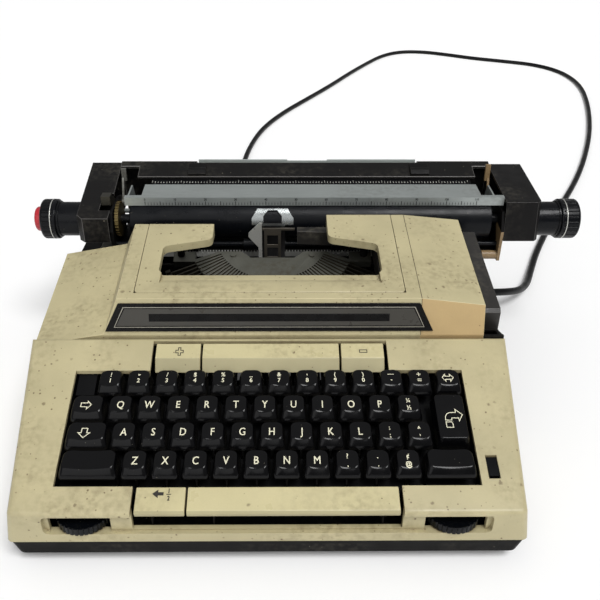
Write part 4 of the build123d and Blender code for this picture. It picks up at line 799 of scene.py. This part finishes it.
class TYPEWRITER_OT_nameplate(bpy.types.Operator):
    """Bare dark plate on the front facet, with its border line and raised strip"""
    bl_idname = "typewriter.nameplate"
    bl_label = "Nameplate"

    def execute(self, context):
        plate = dress("nameplate", "strip", 0.0004)
        reshape(plate, lambda x, y, z: (self.widening(x, z), 0, 0))
        low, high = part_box("nameplate")
        up = Vector((0, *facet_slope)).normalized()
        out = Vector((0, -up.z, up.y))
        start = Vector(((low.x + high.x) / 2, low.y, low.z + up.y * MM))
        for part, thickness, finish, lower, upper in (
                ("border", 0.1, "line", (110.6, 2.9), (103.6, 17.8)),
                ("gap", 0.2, "strip", (109.9, 3.4), (103.1, 17.3)),
                ("panel", 0.3, "plate", (108.7, 4.2), (102.4, 16.6)),
                ("window", 0.4, "inside", (85.4, 7.4), (85.4, 13.0)),
                ("strip", 0.5, "strip", (84.9, 7.9), (84.9, 12.5))):
            corners = ((-lower[0], lower[1]), lower, upper, (-upper[0], upper[1]))
            foot, top = ([start + (Vector((x, 0, 0)) + up * y + out * depth) * MM for x, y in corners]
                         for depth in (-0.2, thickness))
            slab = prism("nameplate_" + part, foot, top)
            round_edges(keep_piece(slab, finish, "nameplate"), 0.0001)
        return {"FINISHED"}

    def widening(self, x, z):
        """How far the plate's ends stand out at that height."""
        return (plate_widening if x > 0 else -plate_widening) * part_of((z - plate_foot) / plate_height)


# The keyboard

key_rows = [
    ("bottom_row_keys", -83.5875, 29.2, ["Z", "X", "C", "V", "B", "N", "M", "?,", "..", "¢@"]),
    ("home_row_keys", -93.1125, 48.25, list("ASDFGHJKL") + [":;", "^'"]),
    ("upper_row_keys", -97.875, 67.3, list("QWERTYUIOP") + ["¼½"]),
    ("number_row_keys", -107.4, 86.35,
     ["!1", "\"2", "/3", "$4", "%5", "_6", "&7", "'8", "(9", ")0", "—-", "+="]),
]
key_pitch = 19.05
letter_lean = -0.3
figure_places = {"number_row_keys": (3.45, -1.65)}
arc_steps, rear_parts, side_parts = 6, 6, 3
cap_rise, cap_tilt, cap_dish, cap_lean = 9.2, 0.176, 1.1, 1.2
# A cap's sides from its foot (share of its rise, narrowing, radii in front and behind, share of its tilt),
# then its brim (way inward, drop), then its dished top (share of its width)
cap_sides = [(0, 0, 2.4, 2.4, 0), (0.15, 0.02, 2.5, 2.5, 0), (0.45, 0.32, 2.7, 3.1, 0.3),
             (0.75, 0.68, 2.9, 4.0, 0.65), (0.95, 0.94, 3.2, 5.0, 0.95)]
cap_brim = [(0.1, 0.22), (0.35, 0.04), (0.8, 0.0), (1.6, 0.02)]
cap_top = [0.8, 0.55, 0.3]


def islands(work):
    """The separate solids of a mesh, each as its vertices."""
    seen, groups = set(), []
    for start in work.verts:
        if start in seen:
            continue
        group, edge = set(), {start}
        while edge:
            group |= edge
            edge = {other.other_vert(vertex) for vertex in edge for other in vertex.link_edges} - group
        seen |= group
        groups.append(group)
    return groups


def cap_ring(half_x, half_y, front, rear):
    """A rounded rectangle as points: its own corner radius in front and behind."""
    arcs = []
    corners = ((1, -1, front, -90), (1, 1, rear, 0), (-1, 1, rear, 90), (-1, -1, front, 180))
    for side, end, radius, start in corners:
        x, y = side * (half_x - radius), end * (half_y - radius)
        turns = [radians(start + 90 * step / arc_steps) for step in range(arc_steps + 1)]
        arcs.append([(x + radius * cos(turn), y + radius * sin(turn)) for turn in turns])
    points = []
    for arc, after, parts in zip(arcs, arcs[1:] + arcs[:1], (side_parts, rear_parts, side_parts, rear_parts)):
        (x, y), (far_x, far_y) = arc[-1], after[0]
        points += arc + [(x + (far_x - x) * part / parts, y + (far_y - y) * part / parts)
                         for part in range(1, parts)]
    return points


def moulded_cap(work, low, high):
    """A flared key cap with a dished, tilted top and rounded corners, in the place of a box."""
    middle, reach = (low + high) / 2, (high - low) / 2
    rings = []
    for up, narrow, front, rear, tilt in cap_sides:
        half_x, half_y = reach.x + 0.2 - 2 * narrow, reach.y + 0.2 - 2 * narrow
        rings.append([(x, y + cap_lean * narrow,
                       cap_rise * up + tilt * (y * cap_tilt - cap_dish * (1 - (x / half_x) ** 2) * up))
                      for x, y in cap_ring(half_x, half_y, front, rear)])
    top_x, top_y = reach.x - 1.8, reach.y - 1.8

    def on_top(x, y, drop):
        return x, y + cap_lean, cap_rise + y * cap_tilt - cap_dish * (1 - (x / top_x) ** 2) - drop

    for inward, drop in cap_brim:
        brim = cap_ring(top_x - inward, top_y - inward, 3.2 - inward / 2, 5.2 - inward / 2)
        rings.append([on_top(x, y, drop) for x, y in brim])
    rings += [[on_top(x * share, y * share, 0.03) for x, y in brim] for share in cap_top]
    rings = [[at(middle.x + x, middle.y + y, low.z + z) for x, y, z in ring] for ring in rings]
    rows = skin(work, rings, smooth=True)
    work.faces.new(rows[-1]).smooth = True
    for edge in work.faces.new(rows[0][::-1]).edges:
        edge.smooth = False


class TYPEWRITER_OT_keys(bpy.types.Operator):
    """Black key caps in their well"""
    bl_idname = "typewriter.keys"
    bl_label = "Keys"

    def execute(self, context):
        dress("return_key", "key", context.scene.typewriter_sizes.key_edge)
        edge_keys = ["left_shift_key", "right_shift_key", "shift_lock_key", "tab_key", "backspace_key"]
        for name in edge_keys + [row[0] for row in key_rows]:
            # The key rows' second finish is near-black: it stays on the levers under the caps, painted shade
            # in the well's gaps
            self.caps(dress(name, "key", edge_finish="inside"))
        dress("key_well", "well", 0.0003)
        return {"FINISHED"}

    def caps(self, piece):
        """Rounded caps in place of the plain ones, on their own levers."""
        with worked(piece.data) as work:
            # Every face first takes the near-black second finish; the levers keep it as painted shade, and
            # the new caps take the key finish
            for face in work.faces:
                face.material_index = 1
            for group in islands(work):
                places = [in_machine(vertex.co) for vertex in group]
                low, high = (Vector(map(pick, zip(*places))) for pick in (min, max))
                # A lever is narrower or longer than any cap
                if high.x - low.x > 5 and high.y - low.y < 40:
                    bmesh.ops.delete(work, geom=list(group), context="VERTS")
                    moulded_cap(work, low, high)


class TYPEWRITER_OT_legends(bpy.types.Operator):
    """Cream letters, figures and arrows on the key tops"""
    bl_idname = "typewriter.legends"
    bl_label = "Legends"

    def execute(self, context):
        sizes = context.scene.typewriter_sizes
        letter, figure = sizes.letter_height / MM, sizes.figure_height / MM
        for name, first, y, texts in key_rows:
            marks = []
            for number, text in enumerate(texts):
                x = first + number * key_pitch
                if len(text) == 1:
                    marks.append((*letters(text, letter, 0.74, 0.07), x, y + letter_lean))
                    continue
                for mark, up in zip(text, figure_places.get(name, (2.8, -3.2))):
                    grow = 1.3 if mark in "+=" else 1.0
                    marks.append((*letters(mark, figure * grow, 0.8, 0.09), x, y + up))
            printed(name.replace("keys", "legends"), name, marks, "legend")
        arrow = [(-4.2, -2), (1, -2), (1, -4), (4.2, 0), (1, 4), (1, 2), (-4.2, 2)]
        both = [(-4.6, 0), (-2, 3.8), (-2, 1.7), (2, 1.7), (2, 3.8), (4.6, 0), (2, -3.8), (2, -1.7),
                (-2, -1.7), (-2, -3.8)]
        lock = [(-4.6, 0), (-2.2, 0), (-2.2, 4.4), (2.2, 4.4), (2.2, 0), (4.6, 0), (0, -4.6)]
        bend = [(-6.2, -1), (-6, 1.6), (-4.6, 3.8), (-2.6, 4.6), (1.6, 4.8), (1.6, 7), (6.2, 3),
                (3.4, -1.6), (3.2, 0.6), (-1.6, 0.6), (-1.8, -1)]
        square = [(-6, -6.4), (-6.2, -2.4), (-2, -2.4), (-1.4, -4.4), (-1.4, -6.4)]
        for key, shapes, size, stroke, x, y in (
                ("tab", [arrow], 0.8, 0.6, -120.5, 67.1), ("backspace", [both], 0.82, 0.6, 121.6, 86.5),
                ("shift_lock", [lock], 0.82, 0.6, -118.5, 47.6),
                ("return", [bend, square], 0.93, 0.5, 120.9, 55.6)):
            marks = [(*outline(shape, stroke, size), x, y) for shape in shapes]
            printed(key + "_legend", key + "_key", marks, "legend")
        return {"FINISHED"}


class TYPEWRITER_OT_bars(bpy.types.Operator):
    """Beige bars in front of and behind the keys, with their dark marks"""
    bl_idname = "typewriter.bars"
    bl_label = "Bars"

    def execute(self, context):
        edge = context.scene.typewriter_sizes.key_edge
        for name, foot in (("space_bar", 41), ("half_space_key", 41), ("tab_bar", 75),
                           ("tab_set_key", 75), ("tab_clear_key", 75)):
            bar = dress(name, "bar", edge)
            # Front-facing faces take the darker bar finish, painted shade
            paint(bar, "bar_front", lambda x, y, z, normal: normal.y < -0.55)
            # Below the foot the bars' stems are painted near-black, painted shade in the slots under the bars
            paint(bar, "inside", lambda x, y, z, normal, foot=foot: z < foot)
        plus = [(-0.8, -3), (0.8, -3), (0.8, -1), (2.6, -1), (2.6, 1), (0.8, 1), (0.8, 3), (-0.8, 3),
                (-0.8, 1), (-2.6, 1), (-2.6, -1), (-0.8, -1)]
        dash = [(-2.6, -1), (2.6, -1), (2.6, 1), (-2.6, 1)]
        for key, shape, x in (("tab_set", plus, -63), ("tab_clear", dash, 66)):
            printed(key + "_mark", key + "_key", [(*outline(shape, 0.55), x, 109.5)], "icon")
        back = [(-4.6, 0), (-1, 2.6), (-1, 1), (2.4, 1), (2.4, -1), (-1, -1), (-1, -2.6)]
        arrow = ([(*corner, 0) for corner in back], [tuple(range(len(back)))], -66.4, 11.6)
        half = [(*letters(mark, 2.8, width, 0.12), -60.8, y)
                for mark, width, y in (("1", 0.8, 13.2), ("2", 0.8, 8.8), ("—", 0.7, 11.3))]
        printed("half_space_mark", "half_space_key", [arrow, *half], "icon")
        return {"FINISHED"}


class TYPEWRITER_OT_wheels(bpy.types.Operator):
    """Thumbwheels in the front recess and the power switch"""
    bl_idname = "typewriter.wheels"
    bl_label = "Wheels and switch"

    def execute(self, context):
        dress_all(("left_thumbwheel", "knob", 0.0002), ("right_thumbwheel", "knob", 0.0002),
                  ("power_switch", "knob", 0.0006))
        return {"FINISHED"}


# The type basket and the cartridge

holder_foot, pointer_post, pointer_rise = 117.5, 80, 13.4


class TYPEWRITER_OT_basket(bpy.types.Operator):
    """Type segment, type bars, type guide, card holder and pointer"""
    bl_idname = "typewriter.basket"
    bl_label = "Type basket"

    def execute(self, context):
        dress_all(("type_segment", "segment", 0.0003), ("typebars", "type_bar"),
                  ("type_guide", "brown_steel", 0.0002))
        # The card holder's lower part, below holder_foot, is painted near-black, painted shade
        paint(dress("card_holder", "chrome"), "inside", lambda x, y, z, normal: z < holder_foot,
              [(at(0, 0, holder_foot), Vector((0, 0, 1)))])
        pointer = dress("alignment_pointer", "silver", 0.0002)
        reshape(pointer, lambda x, y, z: (0, 0, pointer_rise if z > pointer_post else 0))
        dress("ribbon_cartridge", "case", 0.0008, "rubbed")
        return {"FINISHED"}


class TYPEWRITER_OT_mechanism(bpy.types.Operator):
    """Side frames, rail, shafts and motor"""
    bl_idname = "typewriter.mechanism"
    bl_label = "Mechanism"

    def execute(self, context):
        dress_all(("side_frames", "inside", 0.0003), ("key_lever_shaft", "type_bar"),
                  ("carriage_rail", "steel", 0.0004), ("power_roll", "rubber"), ("motor", "motor", 0.0006))
        return {"FINISHED"}


# The carriage

platen_y, platen_z = 265, 115.9
cover_wall, floor_foot, floor_top = 2.5, 104.4, 105.4
# A knob's ring in section: way along the platen's line, radius
ring_section = [(-0.4, 16.6), (-0.4, 17.05), (-0.2, 17.2), (0.2, 17.2), (0.4, 17.05), (0.4, 16.6)]
ring_steps = 96


class TYPEWRITER_OT_carriage(bpy.types.Operator):
    """Carriage frame, covers, stops, rack, platen, knobs and levers"""
    bl_idname = "typewriter.carriage"
    bl_label = "Carriage"

    def execute(self, context):
        chassis = dress("carriage_frame", "inside", 0.0003)
        paint(chassis, "tan", lambda x, y, z, normal: 181.5 < x < 197 and 245.8 < y < 254.2 and z < 100)
        for name in ("left_end_cover", "right_end_cover", "carriage_rear_cover"):
            dress(name, "carriage", 0.0009, "rubbed")
        dress_all(("margin_stop_left", "inside", 0.0006, "carriage"),
                  ("margin_stop_right", "inside", 0.0006, "carriage"), ("margin_scale", "well", 0.0002),
                  ("escapement_rack", "silver"), ("feed_rollers", "platen"), ("platen", "platen"),
                  ("left_knob", "knob", 0.0004), ("right_knob", "knob", 0.0004), ("ratchet_wheel", "brass"),
                  ("platen_button", "button"), ("paper_support", "support", 0.0003),
                  ("line_space_lever", "type_bar", 0.0006), ("carriage_release_lever", "grey", 0.0005),
                  ("paper_release_lever", "tan", 0.0006))
        for name, left, right in (("left_end_cover", cover_wall, 0), ("right_end_cover", 0, cover_wall)):
            low, high = (in_machine(corner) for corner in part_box(name))
            low, high = (low.x + left, low.y + cover_wall), (high.x - right, high.y - cover_wall)
            floor = block(name + "_floor", (*low, floor_foot), (*high, floor_top),
                          Matrix.Translation(at(0, 0, 0)))
            round_edges(keep_piece(floor, "inside", name), 0.0003)
        for name, x in (("left_knob", -185.8), ("right_knob", 250.8)):
            self.ring(name, x)
        return {"FINISHED"}

    def ring(self, knob, x):
        """A thin bright ring round a knob."""
        turns = [2 * pi * step / ring_steps for step in range(ring_steps)]
        mesh = bpy.data.meshes.new(knob + "_ring")
        rings = [[at(x + along, platen_y + radius * cos(turn), platen_z + radius * sin(turn))
                  for turn in turns] for along, radius in ring_section]
        with worked(mesh) as work:
            skin(work, rings, smooth=True, closed=True)
            bmesh.ops.recalc_face_normals(work, faces=work.faces)
        keep_piece(mesh, "silver", knob)


# The scales, each from the middle of its first mark, and the height of the bail's marks and numbers
bail_first, bail_foot, number_height, column_numbers = -105.75, 131.9, 136.9, 12
# Each row's name, half width, depth, length, columns to the next and count; then name, length, columns, count
bail_rows = [("bail_marks", 0.2, 0.06, 2.4, 1, 111), ("bail_long_marks", 0.3, 0.07, 3.4, 5, 23)]
margin_rows = [("margin_marks", 2.0, 1, 111), ("margin_long_marks", 3.2, 10, 12)]
scale_slope, scale_first, scale_foot = radians(18.5), -105.02, (294.5, 135.5)


class TYPEWRITER_OT_paper_scale(bpy.types.Operator):
    """Paper bail with its printed scale, and the margin scale behind it"""
    bl_idname = "typewriter.paper_scale"
    bl_label = "Paper scale"

    def execute(self, context):
        pitch = context.scene.typewriter_sizes.scale_pitch
        dress("paper_bail", "scale", 0.0004)
        face_y = in_machine(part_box("paper_bail")[0]).y
        for name, half, off, long, every, count in bail_rows:
            mark = block("mark", (-half, -off, 0), (half, 0.02, long))
            row_of(name, mark, at(bail_first, face_y, bail_foot), every * pitch, count, "mark", "paper_bail")
        self.numbers(face_y, 10 * pitch / MM)
        turn = Matrix.Rotation(scale_slope, 4, "X")
        for name, long, every, count in margin_rows:
            tick = block("tick", (-0.16, 0.8, 0.5), (0.16, 0.8 + long, 0.66), turn)
            row_of(name, tick, at(scale_first, *scale_foot), every * pitch, count, "white", "margin_scale")
        return {"FINISHED"}

    def numbers(self, face_y, every):
        """Column numbers along the bail's face."""
        shapes = []
        for number in range(column_numbers):
            flat, faces = letters(str(number * 10), 2.0, 0.85, 0.06)
            x, y = bail_first + every * number, face_y - 0.08
            shapes.append(([at(x + across, y - off, number_height + up) for across, up, off in flat], faces))
        keep_piece(mesh_of("bail_numbers", *joined(shapes)), "mark", "paper_bail")


operators = [
    TYPEWRITER_OT_stage, TYPEWRITER_OT_mains_lead, TYPEWRITER_OT_housing, TYPEWRITER_OT_nameplate,
    TYPEWRITER_OT_keys, TYPEWRITER_OT_legends, TYPEWRITER_OT_bars, TYPEWRITER_OT_wheels,
    TYPEWRITER_OT_basket, TYPEWRITER_OT_mechanism, TYPEWRITER_OT_carriage, TYPEWRITER_OT_paper_scale,
]


class TYPEWRITER_PT_panel(bpy.types.Panel):
    """The typewriter's settings and steps"""
    bl_idname = "TYPEWRITER_PT_panel"
    bl_label = "Typewriter"
    bl_space_type = "VIEW_3D"
    bl_region_type = "UI"
    bl_category = "Typewriter"

    def draw(self, context):
        for group in (context.scene.typewriter_sizes, context.scene.typewriter_colours):
            for name in group.__annotations__:
                self.layout.prop(group, name)
        for operator in operators:
            self.layout.operator(operator.bl_idname)


classes = [TypewriterSizes, TypewriterColours, *operators, TYPEWRITER_PT_panel]


def register():
    for one in classes:
        bpy.utils.register_class(one)
    bpy.types.Scene.typewriter_sizes = bpy.props.PointerProperty(type=TypewriterSizes)
    bpy.types.Scene.typewriter_colours = bpy.props.PointerProperty(type=TypewriterColours)


def unregister():
    del bpy.types.Scene.typewriter_sizes
    del bpy.types.Scene.typewriter_colours
    for one in reversed(classes):
        bpy.utils.unregister_class(one)


def main():
    register()
    bpy.context.scene.view_settings.view_transform = "Standard"
    finishes.update(make_materials(bpy.context.scene.typewriter_colours))
    for operator in operators:
        group, name = operator.bl_idname.split(".")
        getattr(getattr(bpy.ops, group), name)()


if __name__ == "__main__":
    main()
